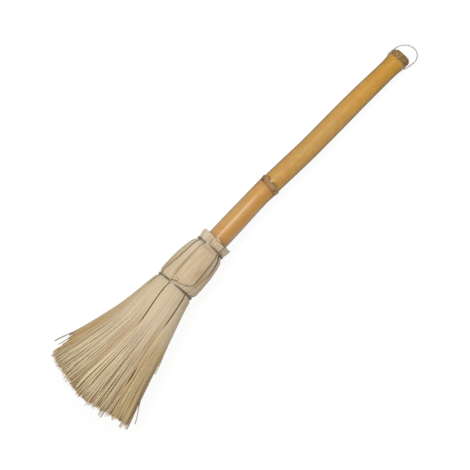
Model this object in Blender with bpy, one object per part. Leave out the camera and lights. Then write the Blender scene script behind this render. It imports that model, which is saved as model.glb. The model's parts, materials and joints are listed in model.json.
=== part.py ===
"""Palm broom: a cane handle, a head of split palm leaves, binding wires and a hanging loop.

The broom lies on a flat surface. +X runs from the tips of the leaves to the hanging loop,
+Z is up, and the origin is on that surface under the middle of the broom. Lengths in this
file are millimetres, and every mesh is scaled to metres when it is made. Each piece is
modelled along the broom's own axis: d is the distance along it from the waist wire, positive
towards the loop, and an angle of 0 degrees is up and 90 degrees is towards +Y.
"""

from collections import namedtuple
from math import atan, ceil, cos, degrees, exp, hypot, pi, radians, sin, sqrt
import random

import bpy
from mathutils import Matrix, Vector

MM = 0.001
CLEARANCE = 0.3

# Axis of the broom: the fan leans to one side, and the cane bends at three places.
AXIS_SHIFT = 0.3
FAN_BENDS = ((-6.0, -0.104), (-62.0, 0.104))
CANE_BENDS = ((160.0, -0.068), (242.0, 0.043), (335.0, -0.028))
BEND_WIDTH = 12.0

# Head of leaves
COLLAR_END = 78.8
NECK_D = 66.0
TIP_REACH = 187.5
TIP_CUT_LOW_Y = (14.5, 1.5)
TIP_CUT_HIGH_Y = (19.0, 1.0)
TIP_EDGE_CUT = 28.0
TIP_EDGE_START = 0.80
TIP_EDGE_RUN = 0.12
RING_GAP = 0.45
SEAM_GAP = 0.7
TIP_THICK = 1.3
SPLIT_D = -62.0
SPLIT_SPREAD = 7.0
FLOOR_CUT = 0.5
TIP_SQUARENESS = 0.4
UNDERSIDE_FULLNESS = 0.5

# Cane
CANE_SIDES = 24
CANE_LOWER_END = -5.0
CANE_END = 413.8
CANE_END_RADIUS = 11.6
CANE_RIM_RADIUS = 9.4
CANE_BORE = 10.4
CUP_RADIUS = 8.0
CUP_DEPTH = 6.3
NODE_D = 171.0
NODE_SLANT = 2.2
NODE_SLANT_REACH = 9.0
RIDGE_D = 401.3
RIDGE_RADIUS = 14.2

# Binding wires
WIRE_RADIUS = 0.5
WIRE_PITCH = 1.45
WIRE_TURNS = 2
POINTS_PER_TURN = 24
WAIST_SLANT = 1.7
NECK_LEAF_RADIUS = 20.1
WAIST_LEAF_RADIUS = 25.6
TWIST_RADIUS = 0.84
TWIST_LEAD = 7.0
TAIL_STRAIGHT = 5.2
TAIL_STEP = 1.2
LEAST_WIRE_GAP = 0.4

# Flap on the front, and its nail
FLAP_THICK = 1.1
FLAP_GAP = 0.35
FLAP_LOW_NECK = -36.0
FLAP_HIGH_NECK = 28.0
FLAP_HIGH_WAIST = 19.0
FLAP_END_D = 2.4
FLAP_SLANT = 5.8
FLAP_CURL = 5.9
FLAP_CORNER = 6.0
NAIL_D = 6.4
NAIL_ANGLE = 8.0
NAIL_HEAD_RADIUS = 2.0
NAIL_HEAD_THICK = 0.8
NAIL_SHANK_RADIUS = 0.75
NAIL_TIP_RADIUS = 11.3

# Hanging loop
LOOP_WIRE_RADIUS = 0.8
LOOP_HALF_WIDTH = 16.6
LOOP_REACH = 31.8
LOOP_HINGE_D = 399.6
LOOP_HINGE_SKEW = -27.0
LOOP_TAIL = 7.2
LOOP_SWING = 150.0

Row = namedtuple("Row", "d wide deep thick")
Ring = namedtuple("Ring", "name edges columns strands start spread blunt")


def fan_row(d, thick):
    """Half width and half depth of the fan where it has left the waist wire."""
    reach = -d
    return Row(d, 26.7 + 0.2 * reach + 0.00042 * reach ** 2, 26.1 + 0.1113 * reach, thick)


def round_row(d, radius, thick=2.1):
    """A round section of the head."""
    return Row(d, radius, radius, thick)


HEAD_ROWS = (
    round_row(COLLAR_END, 21.9, 2.4),
    round_row(72.6, 21.6, 2.4),
    round_row(NECK_D + 2.6, NECK_LEAF_RADIUS, 1.95),
    round_row(NECK_D - 2.6, NECK_LEAF_RADIUS, 1.95),
    round_row(60.2, 23.2),
    round_row(51.0, 25.5),
    round_row(36.0, 27.6),
    round_row(16.0, 28.3),
    round_row(5.2, 28.0),
    round_row(2.3, WAIST_LEAF_RADIUS, 2.09),
    round_row(-2.3, WAIST_LEAF_RADIUS, 2.09),
    fan_row(-6.0, 2.1),
    fan_row(-24.0, 2.1),
)
OUTER_ONLY_ROWS = (72.6, 60.2, 16.0, -6.0)

# Each seam of the outer ring: its angle at the neck, at the waist and out in the fan, and how
# far it bows round the head.
OUTER_SEAMS = (
    (58.0, 67.0, 50.0, -12.0),
    (29.0, 18.0, 7.0, 0.0),
    (-50.0, -41.0, -31.0, -12.5),
    (-100.0, -95.0, -90.0, 0.0),
    (-146.0, -144.0, -142.0, 0.0),
    (-196.0, -196.0, -194.0, 0.0),
    (-243.0, -243.0, -246.0, 0.0),
    (-302.0, -293.0, -310.0, -12.0),
)


def even_seams(count, first):
    """Seams of an inner ring: evenly spaced, and straight from end to end."""
    angles = [first - 360.0 * i / count for i in range(count + 1)]
    return tuple((angle, angle, angle, 0.0) for angle in angles)


RINGS = (
    Ring("outer", OUTER_SEAMS, 4, 19, COLLAR_END, 1.0, True),
    Ring("second", even_seams(6, 49.0), 4, 16, COLLAR_END, 0.76, False),
    Ring("third", even_seams(5, 72.0), 4, 12, 51.5, 0.52, False),
    Ring("core", even_seams(4, 50.0), 4, 8, 36.5, 0.28, False),
)

# Strands that stand out of the outline: leaf number, strand number, outward reach, shortening.
STRAYS = {(7, 9): (1.6, -17.0), (3, 0): (8.0, 7.5)}


def clear_scene():
    """Start from an empty scene."""
    for item in list(bpy.data.objects):
        bpy.data.objects.remove(item, do_unlink=True)


def soft_ramp(x):
    """Nothing well below zero and x well above it, with a smooth bend between."""
    return 0.5 * (x + hypot(x, BEND_WIDTH))


def axis_y(d):
    """Sideways place of the broom's axis at d."""
    y = AXIS_SHIFT
    for start, change in FAN_BENDS:
        y += change * soft_ramp(start - d)
    for start, change in CANE_BENDS:
        y += change * soft_ramp(d - start)
    return y


def blend(low, high, share):
    """The value a share of the way from low to high."""
    return low + (high - low) * share


def smooth(x):
    """Ease from 0 to 1, held outside that range."""
    x = min(max(x, 0.0), 1.0)
    return x * x * (3.0 - 2.0 * x)


def material(name, colour, roughness, metallic=0.0):
    """Principled material from a colour in 0 to 255 as it is seen."""
    made = bpy.data.materials.new(name)
    made.use_nodes = True
    shader = made.node_tree.nodes["Principled BSDF"]
    linear = [((c / 255.0 + 0.055) / 1.055) ** 2.4 for c in colour]
    shader.inputs["Base Color"].default_value = (*linear, 1.0)
    shader.inputs["Roughness"].default_value = roughness
    shader.inputs["Metallic"].default_value = metallic
    made.diffuse_color = (*linear, 1.0)
    return made


def add_object(name, data, finish, frame):
    """Link an object under the broom's frame, with its material."""
    made = bpy.data.objects.new(name, data)
    bpy.context.collection.objects.link(made)
    made.parent = frame
    data.materials.append(finish)
    return made


def add_mesh(name, points, faces, finish, frame):
    """Mesh object from points in millimetres, shaded smooth but for its sharp edges."""
    mesh = bpy.data.meshes.new(name)
    mesh.from_pydata([Vector(p) * MM for p in points], [], faces)
    mesh.validate()
    mesh.shade_smooth()
    mesh.set_sharp_from_angle(angle=radians(40.0))
    return add_object(name, mesh, finish, frame)


def add_cutter(name, points, faces, frame, finish):
    """Solid that only cuts others: never rendered, and drawn as wire."""
    cutter = add_mesh(name, points, faces, finish, frame)
    cutter.hide_render = True
    cutter.display_type = "WIRE"
    return cutter


def cut(target, cutter):
    """Take the cutter's shape out of the target."""
    step = target.modifiers.new(cutter.name, "BOOLEAN")
    step.operation = "DIFFERENCE"
    step.solver = "EXACT"
    step.object = cutter


def add_wire(name, points, radius, sides_step, finish, frame):
    """Round wire along points in millimetres, with closed ends."""
    curve = bpy.data.curves.new(name, "CURVE")
    curve.dimensions = "3D"
    curve.bevel_depth = radius * MM
    curve.bevel_resolution = sides_step
    curve.use_fill_caps = True
    spline = curve.splines.new("POLY")
    spline.points.add(len(points) - 1)
    for knot, point in zip(spline.points, points):
        knot.co = (*(Vector(point) * MM), 1.0)
    return add_object(name, curve, finish, frame)


def slanted(d, y):
    """Slant the cane's middle node: its +Y side lies nearer the loop."""
    fade = exp(-((d - NODE_D) / NODE_SLANT_REACH) ** 2)
    return d + NODE_SLANT * fade * y / RIDGE_RADIUS


def turned(profile, sides=CANE_SIDES):
    """Points and faces of a closed body turned round the axis; the profile starts and ends on it."""
    points = []
    rings = []
    for d, radius in profile:
        start = len(points)
        count = sides if radius > 0.0 else 1
        for k in range(count):
            y = radius * sin(2.0 * pi * k / sides)
            z = radius * cos(2.0 * pi * k / sides)
            points.append((slanted(d, y), y + axis_y(d), z))
        rings.append([start + k % count for k in range(sides + 1)])
    faces = []
    for near, far in zip(rings, rings[1:]):
        for k in range(sides):
            corners = (near[k], far[k], far[k + 1], near[k + 1])
            faces.append(tuple(dict.fromkeys(corners)))
    return points, faces


def thick_sheet(outer, inner, faces, pinched=()):
    """Close an outer and an inner face of like layout with a rim; a pinched point has one corner."""
    points = list(outer)
    back = {}
    for i, point in enumerate(inner):
        if i in pinched:
            back[i] = i
        else:
            back[i] = len(points)
            points.append(point)
    used = {edge for face in faces for edge in zip(face, face[1:] + face[:1])}
    rim = [(b, a, back[a], back[b]) for a, b in sorted(used) if (b, a) not in used]
    inside = [tuple(back[i] for i in reversed(face)) for face in faces]
    solid = []
    for face in list(faces) + inside + rim:
        corners = tuple(dict.fromkeys(face))
        if len(corners) > 2:
            solid.append(corners)
    return points, solid


def seam_angle(seam, d):
    """Angle of a seam at d, easing from the neck past the waist into the fan."""
    neck, waist, fan, bow = seam
    if d > 0.0:
        up = min(d / NECK_D, 1.0)
        return blend(waist, neck, up) + 4.0 * bow * up * (1.0 - up)
    return blend(waist, fan, smooth(-d / 75.0))


def power(value, exponent):
    """A power that keeps the sign."""
    return abs(value) ** exponent * (1.0 if value >= 0.0 else -1.0)


def underside(fall, spread):
    """Share of the half depth reached below the axis: the fan lies flat where its tips spread."""
    flat = (1.0 + UNDERSIDE_FULLNESS) * fall / (1.0 + UNDERSIDE_FULLNESS * fall ** 3)
    return blend(fall, flat, spread)


def head_point(row, ring_number, angle, depth=0.0, lift=0.0):
    """Point of a ring of leaves at a row and an angle in degrees, depth below its outer face."""
    spread = (max(-row.d, 0.0) / TIP_REACH) ** 0.7
    share = RINGS[ring_number].spread
    drop = ring_number * (row.thick + RING_GAP)
    wide = blend(row.wide - drop, row.wide * share, spread) - depth + lift
    deep = blend(row.deep - drop, row.deep * share, spread) - depth + lift
    exponent = 2.0 / (2.0 + TIP_SQUARENESS * spread)
    turn = radians(angle)
    shear = -WAIST_SLANT * sin(turn) * max(0.0, 1.0 - abs(row.d) / 50.0)
    y = wide * power(sin(turn), exponent)
    rise = power(cos(turn), exponent)
    if rise < 0.0:
        rise = -underside(-rise, spread)
    return (row.d + shear, y + axis_y(row.d), deep * rise)


def zip_rows(near, far):
    """Triangles between two rows of points with different counts."""
    faces = []
    i = 0
    j = 0
    while i < len(near) - 1 or j < len(far) - 1:
        near_next = (i + 1) / (len(near) - 1)
        far_next = (j + 1) / (len(far) - 1)
        if near_next <= far_next:
            faces.append((near[i], near[i + 1], far[j]))
            i += 1
        else:
            faces.append((near[i], far[j + 1], far[j]))
            j += 1
    return faces


def corner_cut(across):
    """How much less the strands reach towards a corner: across is -1 at one edge, +1 at +Y."""
    most, exponent = TIP_CUT_HIGH_Y if across > 0.0 else TIP_CUT_LOW_Y
    edge = TIP_EDGE_CUT * smooth((across - TIP_EDGE_START) / TIP_EDGE_RUN)
    return most * abs(across) ** exponent + edge


def leaf_mesh(ring_number, leaf_number, chance):
    """One palm leaf: a curved blade from the collar down, split into strands to the tips."""
    ring = RINGS[ring_number]
    high_seam = ring.edges[leaf_number - 1]
    low_seam = ring.edges[leaf_number]
    outer = []
    inner = []
    faces = []

    def angle_at(d, share, radius):
        inset = degrees(0.5 * SEAM_GAP / radius)
        return blend(seam_angle(low_seam, d) + inset, seam_angle(high_seam, d) - inset, share)

    def add_point(row, share, lift=0.0):
        angle = angle_at(row.d, share, row.wide)
        outer.append(head_point(row, ring_number, angle, 0.0, lift))
        inner.append(head_point(row, ring_number, angle, row.thick, lift))
        return len(outer) - 1

    rows = [row for row in HEAD_ROWS
            if row.d <= ring.start and (ring_number == 0 or row.d not in OUTER_ONLY_ROWS)]
    grid = []
    for number, row in enumerate(rows):
        line = []
        for column in range(ring.columns + 1):
            uneven = chance.uniform(-1.6, 0.0) if number == 0 else 0.0
            line.append(add_point(row._replace(d=row.d + uneven), column / ring.columns))
        grid.append(line)
    for near, far in zip(grid, grid[1:]):
        for c in range(ring.columns):
            faces.append((near[c], near[c + 1], far[c + 1], far[c]))

    crotches = []
    for i in range(ring.strands + 1):
        spread = SPLIT_SPREAD if 0 < i < ring.strands else 0.0
        split = SPLIT_D + chance.uniform(-spread, spread)
        crotches.append(add_point(fan_row(split, 2.0), i / ring.strands))
    faces += zip_rows(grid[-1], crotches)

    tips = []
    for i in range(ring.strands):
        left = (i + chance.uniform(0.09, 0.19)) / ring.strands
        right = (i + 1 - chance.uniform(0.09, 0.19)) / ring.strands
        across = sin(radians(seam_angle(low_seam, -TIP_REACH) * (1 - left)
                             + seam_angle(high_seam, -TIP_REACH) * left))
        reach = TIP_REACH - corner_cut(ring.spread * across) - chance.uniform(0.0, 3.5)
        lift, short = STRAYS.get((leaf_number, i), (0.0, 0.0)) if ring_number == 0 else (0.0, 0.0)
        row = fan_row(short - reach, TIP_THICK)
        near_tip = add_point(row, left, lift)
        far_tip = add_point(row, right, lift)
        tips += [near_tip, far_tip]
        faces.append((crotches[i], crotches[i + 1], far_tip, near_tip))
    return thick_sheet(outer, inner, faces, () if ring.blunt else tips)


def front_radius(d):
    """Outer radius of the outer ring, without the waist wire's groove."""
    rows = [row for row in HEAD_ROWS if row.d >= 5.0]
    if d <= rows[-1].d:
        return rows[-1].wide
    for far, near in zip(rows, rows[1:]):
        if near.d <= d <= far.d:
            return blend(near.wide, far.wide, (d - near.d) / (far.d - near.d))
    return rows[0].wide


def flap_mesh():
    """Tongue of leaf on the front: slanted lower end, rounded at its lower corner."""
    columns = 8
    body = [row.d for row in HEAD_ROWS if row.d > 20.0]
    outer = []
    inner = []
    grid = []

    def add_point(d, share):
        low = FLAP_LOW_NECK
        high = blend(FLAP_HIGH_WAIST, FLAP_HIGH_NECK, min(d / NECK_D, 1.0))
        turn = radians(blend(low, high, share))
        shear = -WAIST_SLANT * sin(turn) * max(0.0, 1.0 - abs(d) / 50.0)
        for points, height in ((outer, FLAP_GAP + FLAP_THICK), (inner, FLAP_GAP)):
            radius = front_radius(d) + height
            points.append((d + shear, radius * sin(turn) + axis_y(d), radius * cos(turn)))
        return len(outer) - 1

    for d in body:
        grid.append([add_point(d, column / columns) for column in range(columns + 1)])
    for part in (0.5, 1.0):
        line = []
        for column in range(columns + 1):
            share = column / columns
            left = 1.0 - share
            end = FLAP_END_D + FLAP_SLANT * left + FLAP_CURL * left ** 6
            end += FLAP_CORNER * exp(-share / 0.04)
            line.append(add_point(blend(body[-1], end, part), share))
        grid.append(line)
    faces = []
    for near, far in zip(grid, grid[1:]):
        for c in range(columns):
            faces.append((near[c], near[c + 1], far[c + 1], far[c]))
    return thick_sheet(outer, inner, faces)


def cane_outline():
    """Outer profile of the cane from its hidden lower end to its cut end."""
    taper = [(CANE_LOWER_END, 14.1), (20.0, 14.2), (NECK_D, 14.4), (84.0, 14.7), (105.0, 14.6)]
    taper += [(125.0, 14.3), (142.0, 14.0), (158.0, 13.7), (169.5, 13.95), (NODE_D, 14.35)]
    taper += [(172.2, 13.65), (184.0, 13.6), (205.0, 13.7), (225.0, 13.6), (245.0, 13.5)]
    taper += [(d, 13.45) for d in (262.0, 290.0)]
    taper += [(318.0, 13.3), (332.0, 13.15), (345.0, 12.95), (360.0, 12.75), (380.0, 12.4)]
    taper += [(389.0, 12.5), (395.0, 12.85), (398.6, 13.5)]
    taper += [(RIDGE_D, RIDGE_RADIUS), (403.6, 13.5), (406.0, CANE_END_RADIUS)]
    taper += [(410.5, 11.5), (412.3, 10.8), (413.3, 10.1)]
    return taper + [(CANE_END, CANE_RIM_RADIUS)]


def add_cane(finish, frame):
    """Cane with an open lower bore, a solid middle node, a hollow and a cupped cut end."""
    septum = NODE_D - 3.0
    cup_floor = CANE_END - CUP_DEPTH
    profile = [(septum, 0.0), (septum, CANE_BORE), (90.0, CANE_BORE), (CANE_LOWER_END, CANE_BORE)]
    profile += cane_outline()
    profile += [(CANE_END, CUP_RADIUS), (cup_floor, CUP_RADIUS), (cup_floor, 0.0)]
    cane = add_mesh("cane_handle", *turned(profile), finish, frame)

    bends = (210.0, 240.0, 265.0, 320.0, 350.0)
    hollow = [(NODE_D + 5.0, 0.0), (NODE_D + 5.0, 9.8)] + [(d, 9.8) for d in bends]
    hollow += [(401.5, 9.0), (401.5, 0.0)]
    cut(cane, add_cutter("cane_hollow_cut", *turned(hollow), frame, finish))
    return cane


def sheath_mesh(base_d, tip_of, inner_radius, thick, lift, columns):
    """Ring of dry sheath left on the cane, from a straight base to an edge that tip_of shapes."""
    outer = []
    inner = []
    rows = 3
    for r in range(rows):
        for k in range(columns):
            angle = 360.0 * k / columns
            share = r / (rows - 1)
            d = blend(base_d, tip_of(angle), 1.0 - share)
            turn = radians(angle)
            for points, height in ((inner, 0.0), (outer, thick + lift * (1.0 - share))):
                y = (inner_radius + height) * sin(turn)
                z = (inner_radius + height) * cos(turn)
                points.append((slanted(d, y), y + axis_y(d), z))
    faces = []
    for r in range(rows - 1):
        for k in range(columns):
            after = (k + 1) % columns
            here = r * columns
            below = here + columns
            faces.append((here + k, here + after, below + after, below + k))
    return thick_sheet(outer, inner, faces)


def mid_sheath_tip(angle):
    """Edge of the middle sheath: rounded lobes round the node, two of them on the front."""
    edge = NODE_D + 4.2
    for centre, half, rise in ((37.0, 25.0, 7.0), (-16.0, 27.0, 6.0), (100.0, 30.0, 4.5),
                               (165.0, 28.0, 5.5), (-130.0, 30.0, 5.0), (-75.0, 22.0, 3.0)):
        away = abs((angle - centre + 180.0) % 360.0 - 180.0) / half
        edge = max(edge, NODE_D + 4.2 + rise * sqrt(max(0.0, 1.0 - away ** 2)))
    return edge


def top_sheath_tip(angle):
    """Ragged edge of the top sheath, short of the cane's cut end."""
    turn = radians(angle)
    ragged = 0.5 * sin(3.0 * turn + 0.7) + 0.4 * sin(8.0 * turn + 2.0)
    return 410.0 + 1.2 * sin(turn) + ragged


def winding(centre_d, radius_of, slant, start_angle, fold):
    """One wire: a twisted tail, two turns round the head, and back up the same tail."""
    def on_head(angle, d, radius):
        turn = radians(angle)
        return Vector((d - slant * sin(turn), radius * sin(turn) + axis_y(d), radius * cos(turn)))

    first_d = centre_d - 0.5 * WIRE_TURNS * WIRE_PITCH
    last_d = centre_d + 0.5 * WIRE_TURNS * WIRE_PITCH
    base_radius = radius_of(start_angle) + 1.6
    step = 360.0 / POINTS_PER_TURN

    around = Vector((0.0, cos(radians(start_angle)), -sin(radians(start_angle))))
    bend_length = fold * pi / 2.0
    total = bend_length + TAIL_STRAIGHT
    count = ceil(total / TAIL_STEP)

    def tail(side):
        """Strand of the twisted tail from its foot to its end, side being +1 or -1."""
        strand = []
        for n in range(count + 1):
            along = total * n / count
            bend = min(along / fold, pi / 2.0)
            straight = max(along - bend_length, 0.0)
            centre = on_head(start_angle, last_d + fold * (1.0 - cos(bend)) + straight,
                             base_radius + fold * sin(bend))
            ahead = Vector((sin(bend), sin(radians(start_angle)) * cos(bend),
                            cos(radians(start_angle)) * cos(bend)))
            phase = 2.0 * pi * along / TWIST_LEAD
            offset = around * cos(phase) + ahead.cross(around) * sin(phase)
            strand.append(centre + side * TWIST_RADIUS * offset)
        return strand

    climb_out = ((8.0, 1.2, 1.75), (17.0, 2.45, 1.6), (28.0, 2.85, 0.7))
    climb_in = ((-28.0, 0.0, 0.3), (-18.0, 0.0, 0.9), (-9.0, 0.0, 1.5))
    path = list(reversed(tail(1.0)))
    for turn, back, rise in climb_out:
        angle = start_angle + turn
        path.append(on_head(angle, last_d - back, radius_of(angle) + rise))
    sweep = 360.0 * WIRE_TURNS
    steps = round((sweep - 80.0) / step)
    for n in range(steps + 1):
        passed = blend(40.0, sweep - 40.0, n / steps)
        angle = start_angle + passed
        path.append(on_head(angle, blend(first_d, last_d, passed / sweep), radius_of(angle)))
    for turn, back, rise in climb_in:
        angle = start_angle + turn
        path.append(on_head(angle, last_d - back, radius_of(angle) + rise))
    return path + tail(-1.0)


def neck_radius(angle):
    """Radius of the neck wire's centre line: it rides up over the flap."""
    away = (angle + 180.0) % 360.0 - 180.0
    over = smooth((60.0 - away) / 26.0) * smooth((away + 62.0) / 20.0)
    return NECK_LEAF_RADIUS + 0.97 + (FLAP_GAP + FLAP_THICK) * over


def waist_radius(_angle):
    """Radius of the waist wire's centre line."""
    return WAIST_LEAF_RADIUS + 1.0


def least_gap(points, radius):
    """Least gap between stretches of a wire that lie more than six radii apart along it."""
    dense = []
    for start, end in zip(points, points[1:]):
        parts = max(1, ceil((end - start).length / 0.4))
        dense += [start.lerp(end, n / parts) for n in range(parts)]
    dense.append(points[-1])
    reach = [0.0]
    for start, end in zip(dense, dense[1:]):
        reach.append(reach[-1] + (end - start).length)
    least = min((a - b).length for i, a in enumerate(dense) for j, b in enumerate(dense[:i])
                if reach[i] - reach[j] > 6.0 * radius)
    return least - 2.0 * radius


def loop_path():
    """Bail in its own plane: hinge along Y, crown at +X, both ends turned in through the cane."""
    arc_start = LOOP_REACH - LOOP_HALF_WIDTH
    leg = [(0.0, LOOP_TAIL), (0.0, 13.4), (0.35, 14.7), (1.4, 15.7), (3.0, 16.1), (8.0, 16.5)]
    path = [(x, -y) for x, y in leg]
    for n in range(25):
        turn = pi * n / 24 - pi / 2.0
        path.append((arc_start + LOOP_HALF_WIDTH * cos(turn), LOOP_HALF_WIDTH * sin(turn)))
    path += reversed(leg)
    return [Vector((x, y, 0.0)) for x, y in path]


def floor_slope():
    """Slope of the surface under the broom, from the tips of the leaves to the cane's top ridge."""
    deepest = fan_row(-TIP_REACH, TIP_THICK).deep - FLOOR_CUT
    return (deepest - RIDGE_RADIUS) / (TIP_REACH + RIDGE_D)


def floor_z(d):
    """Height of that surface, as the broom's own axis sees it."""
    return -RIDGE_RADIUS - (RIDGE_D - d) * floor_slope()


def hinge_matrix(droop):
    """Turn and place of the hanging loop at a droop in degrees below the cane's own line."""
    rise = axis_y(LOOP_HINGE_D + 5.0) - axis_y(LOOP_HINGE_D - 5.0)
    turn = Matrix.Rotation(atan(rise / 10.0), 4, "Z")
    turn = turn @ Matrix.Rotation(radians(LOOP_HINGE_SKEW), 4, "X")
    turn = turn @ Matrix.Rotation(radians(droop), 4, "Y")
    return Matrix.Translation((LOOP_HINGE_D, axis_y(LOOP_HINGE_D), 0.0)) @ turn


def resting_droop():
    """Droop at which the hanging loop's crown comes down on the surface under the broom."""
    low = 0.0
    high = 60.0
    for _ in range(40):
        middle = 0.5 * (low + high)
        place = hinge_matrix(middle)
        points = [place @ point for point in loop_path()]
        gap = min((p.z - floor_z(p.x)) * cos(atan(floor_slope())) for p in points)
        if gap > LOOP_WIRE_RADIUS:
            low = middle
        else:
            high = middle
    return low


def scaled(matrix):
    """The same place in metres."""
    return Matrix.Translation(matrix.to_translation() * MM) @ matrix.to_3x3().to_4x4()


def add_loop(finish, frame, cane):
    """Hanging loop on its hinge, and the cross holes that its ends sit in."""
    loop = add_wire("hanging_loop", loop_path(), LOOP_WIRE_RADIUS, 2, finish, frame)
    loop.matrix_local = scaled(hinge_matrix(resting_droop()))
    hole = LOOP_WIRE_RADIUS + CLEARANCE
    drill = [(-20.0, 0.0), (-20.0, hole), (20.0, hole), (20.0, 0.0)]
    cutter = add_cutter("loop_hole_cut", *spun(drill, 16), frame, finish)
    cutter.matrix_local = scaled(hinge_matrix(0.0) @ Matrix.Rotation(pi / 2.0, 4, "X"))
    cut(cane, cutter)
    return loop


def spun(profile, sides):
    """Points and faces of a body turned round local Z; the profile starts and ends on it."""
    points = []
    rings = []
    for z, radius in profile:
        start = len(points)
        count = sides if radius > 0.0 else 1
        for k in range(count):
            points.append((radius * cos(2 * pi * k / sides), radius * sin(2 * pi * k / sides), z))
        rings.append([start + k % count for k in range(sides + 1)])
    faces = []
    for near, far in zip(rings, rings[1:]):
        for k in range(sides):
            corners = (near[k], near[k + 1], far[k + 1], far[k])
            faces.append(tuple(dict.fromkeys(corners)))
    return points, faces


def add_nail(finish, frame, pierced):
    """Nail through the flap and the leaves into the cane, with a clear hole in each."""
    under = front_radius(NAIL_D) + FLAP_GAP + FLAP_THICK + CLEARANCE
    top = under + NAIL_HEAD_THICK
    place = Matrix.Translation((NAIL_D * MM, axis_y(NAIL_D) * MM, 0.0))
    place = place @ Matrix.Rotation(radians(-NAIL_ANGLE), 4, "X")
    profile = [(NAIL_TIP_RADIUS, 0.0), (NAIL_TIP_RADIUS + 2.0, NAIL_SHANK_RADIUS)]
    profile += [(under, NAIL_SHANK_RADIUS), (under, NAIL_HEAD_RADIUS)]
    profile += [(under + 0.45, NAIL_HEAD_RADIUS), (top, 1.4), (top - 0.25, 0.9), (top - 0.25, 0.0)]
    nail = add_mesh("flap_nail", *spun(profile, 16), finish, frame)
    nail.matrix_local = place
    hole = NAIL_SHANK_RADIUS + CLEARANCE
    bottom = NAIL_TIP_RADIUS - 0.5
    drill = [(bottom, 0.0), (bottom, hole), (top + 10.0, hole), (top + 10.0, 0.0)]
    cutter = add_cutter("nail_hole_cut", *spun(drill, 12), frame, finish)
    cutter.matrix_local = place
    for piece in pierced:
        cut(piece, cutter)
    return nail


def holds_nail(ring, leaf_number):
    """Whether the nail passes through this leaf."""
    low = seam_angle(ring.edges[leaf_number], NAIL_D)
    high = seam_angle(ring.edges[leaf_number - 1], NAIL_D)
    return low < NAIL_ANGLE < high


def add_leaves(finishes, frame):
    """All the leaves, ring by ring, and the list of those that the nail goes through."""
    chance = random.Random(11)
    slab = 40.0
    corners = []
    for x in (-TIP_REACH - 40.0, 40.0):
        for z in (floor_z(x) - slab, floor_z(x)):
            corners += [(x, -150.0, z), (x, 150.0, z)]
    faces = [(2, 3, 1, 0), (5, 7, 6, 4), (1, 5, 4, 0), (6, 7, 3, 2), (4, 6, 2, 0), (3, 7, 5, 1)]
    floor = add_cutter("floor_cut", corners, faces, frame, finishes[0])
    pierced = []
    for ring_number, ring in enumerate(RINGS):
        for leaf_number in range(1, len(ring.edges)):
            points, solid = leaf_mesh(ring_number, leaf_number, chance)
            name = f"leaf_{ring.name}_{leaf_number}"
            leaf = add_mesh(name, points, solid, finishes[ring_number], frame)
            if min(z - floor_z(x) for x, _, z in points) < 0.0:
                cut(leaf, floor)
            if holds_nail(ring, leaf_number):
                pierced.append(leaf)
    return pierced


def settle(frame):
    """Lay the broom on the surface and put the origin under its middle."""
    tilt = atan(floor_slope())
    frame.rotation_euler.y = tilt
    ridge = Matrix.Rotation(tilt, 3, "Y") @ Vector((RIDGE_D, 0.0, -RIDGE_RADIUS))
    frame.location.z = -ridge.z * MM
    bpy.context.view_layer.update()
    graph = bpy.context.evaluated_depsgraph_get()
    low = Vector((1e3, 1e3))
    high = -low
    for piece in bpy.data.objects:
        if piece.type == "EMPTY" or piece.hide_render:
            continue
        shape = piece.evaluated_get(graph)
        for vertex in shape.to_mesh().vertices:
            place = shape.matrix_world @ vertex.co
            low = Vector((min(low.x, place.x), min(low.y, place.y)))
            high = Vector((max(high.x, place.x), max(high.y, place.y)))
        shape.to_mesh_clear()
    frame.location.x = -0.5 * (low.x + high.x)
    frame.location.y = -0.5 * (low.y + high.y)
    bpy.context.view_layer.update()


def report_hinge(loop):
    """Print where the hinge is and how far the loop swings from its resting droop."""
    place = loop.matrix_world
    droop = resting_droop()
    axis = -(place.to_3x3() @ Vector((0.0, 1.0, 0.0))).normalized()
    print("hinge at", [round(v, 6) for v in place.translation], "axis", [round(v, 6) for v in axis])
    print("droop", round(droop, 3), "swing", round(droop - LOOP_SWING, 2), "to",
          round(droop + LOOP_SWING, 2), "degrees")


def main():
    """Build the broom."""
    clear_scene()
    frame = bpy.data.objects.new("broom_frame", None)
    bpy.context.collection.objects.link(frame)

    cane_skin = material("cane", (206, 158, 95), 0.35)
    dry_sheath = material("dry_sheath", (145, 112, 70), 0.85)
    leaf_front = material("leaf_outer", (196, 178, 146), 0.75)
    leaf_inside = material("leaf_inner", (181, 160, 122), 0.8)
    flap_skin = material("leaf_flap", (208, 187, 156), 0.7)
    steel = material("bright_wire", (176, 178, 180), 0.35, 1.0)
    dark_steel = material("dull_wire", (112, 108, 104), 0.45, 1.0)

    cane = add_cane(cane_skin, frame)
    add_mesh("node_sheath_mid", *sheath_mesh(NODE_D + 2.0, mid_sheath_tip, 13.95, 0.45, 0.3, 48),
             dry_sheath, frame)
    add_mesh("node_sheath_top", *sheath_mesh(406.4, top_sheath_tip, CANE_END_RADIUS + 0.35, 0.65,
                                             -0.2, 36), dry_sheath, frame)
    loop = add_loop(steel, frame, cane)

    pierced = add_leaves((leaf_front, leaf_inside, leaf_inside, leaf_inside), frame)
    flap = add_mesh("leaf_flap", *flap_mesh(), flap_skin, frame)
    add_nail(dark_steel, frame, pierced + [flap, cane])

    wires = {
        "neck_wire": winding(NECK_D, neck_radius, 0.0, 14.0, 2.2),
        "waist_wire": winding(0.0, waist_radius, WAIST_SLANT, 200.0, 2.6),
    }
    for name, path in wires.items():
        add_wire(name, path, WIRE_RADIUS, 1, dark_steel, frame)
        gap = least_gap(path, WIRE_RADIUS)
        print(name, "least gap to itself", round(gap, 3), "mm, wanted over", LEAST_WIRE_GAP)

    settle(frame)
    report_hinge(loop)


main()
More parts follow.
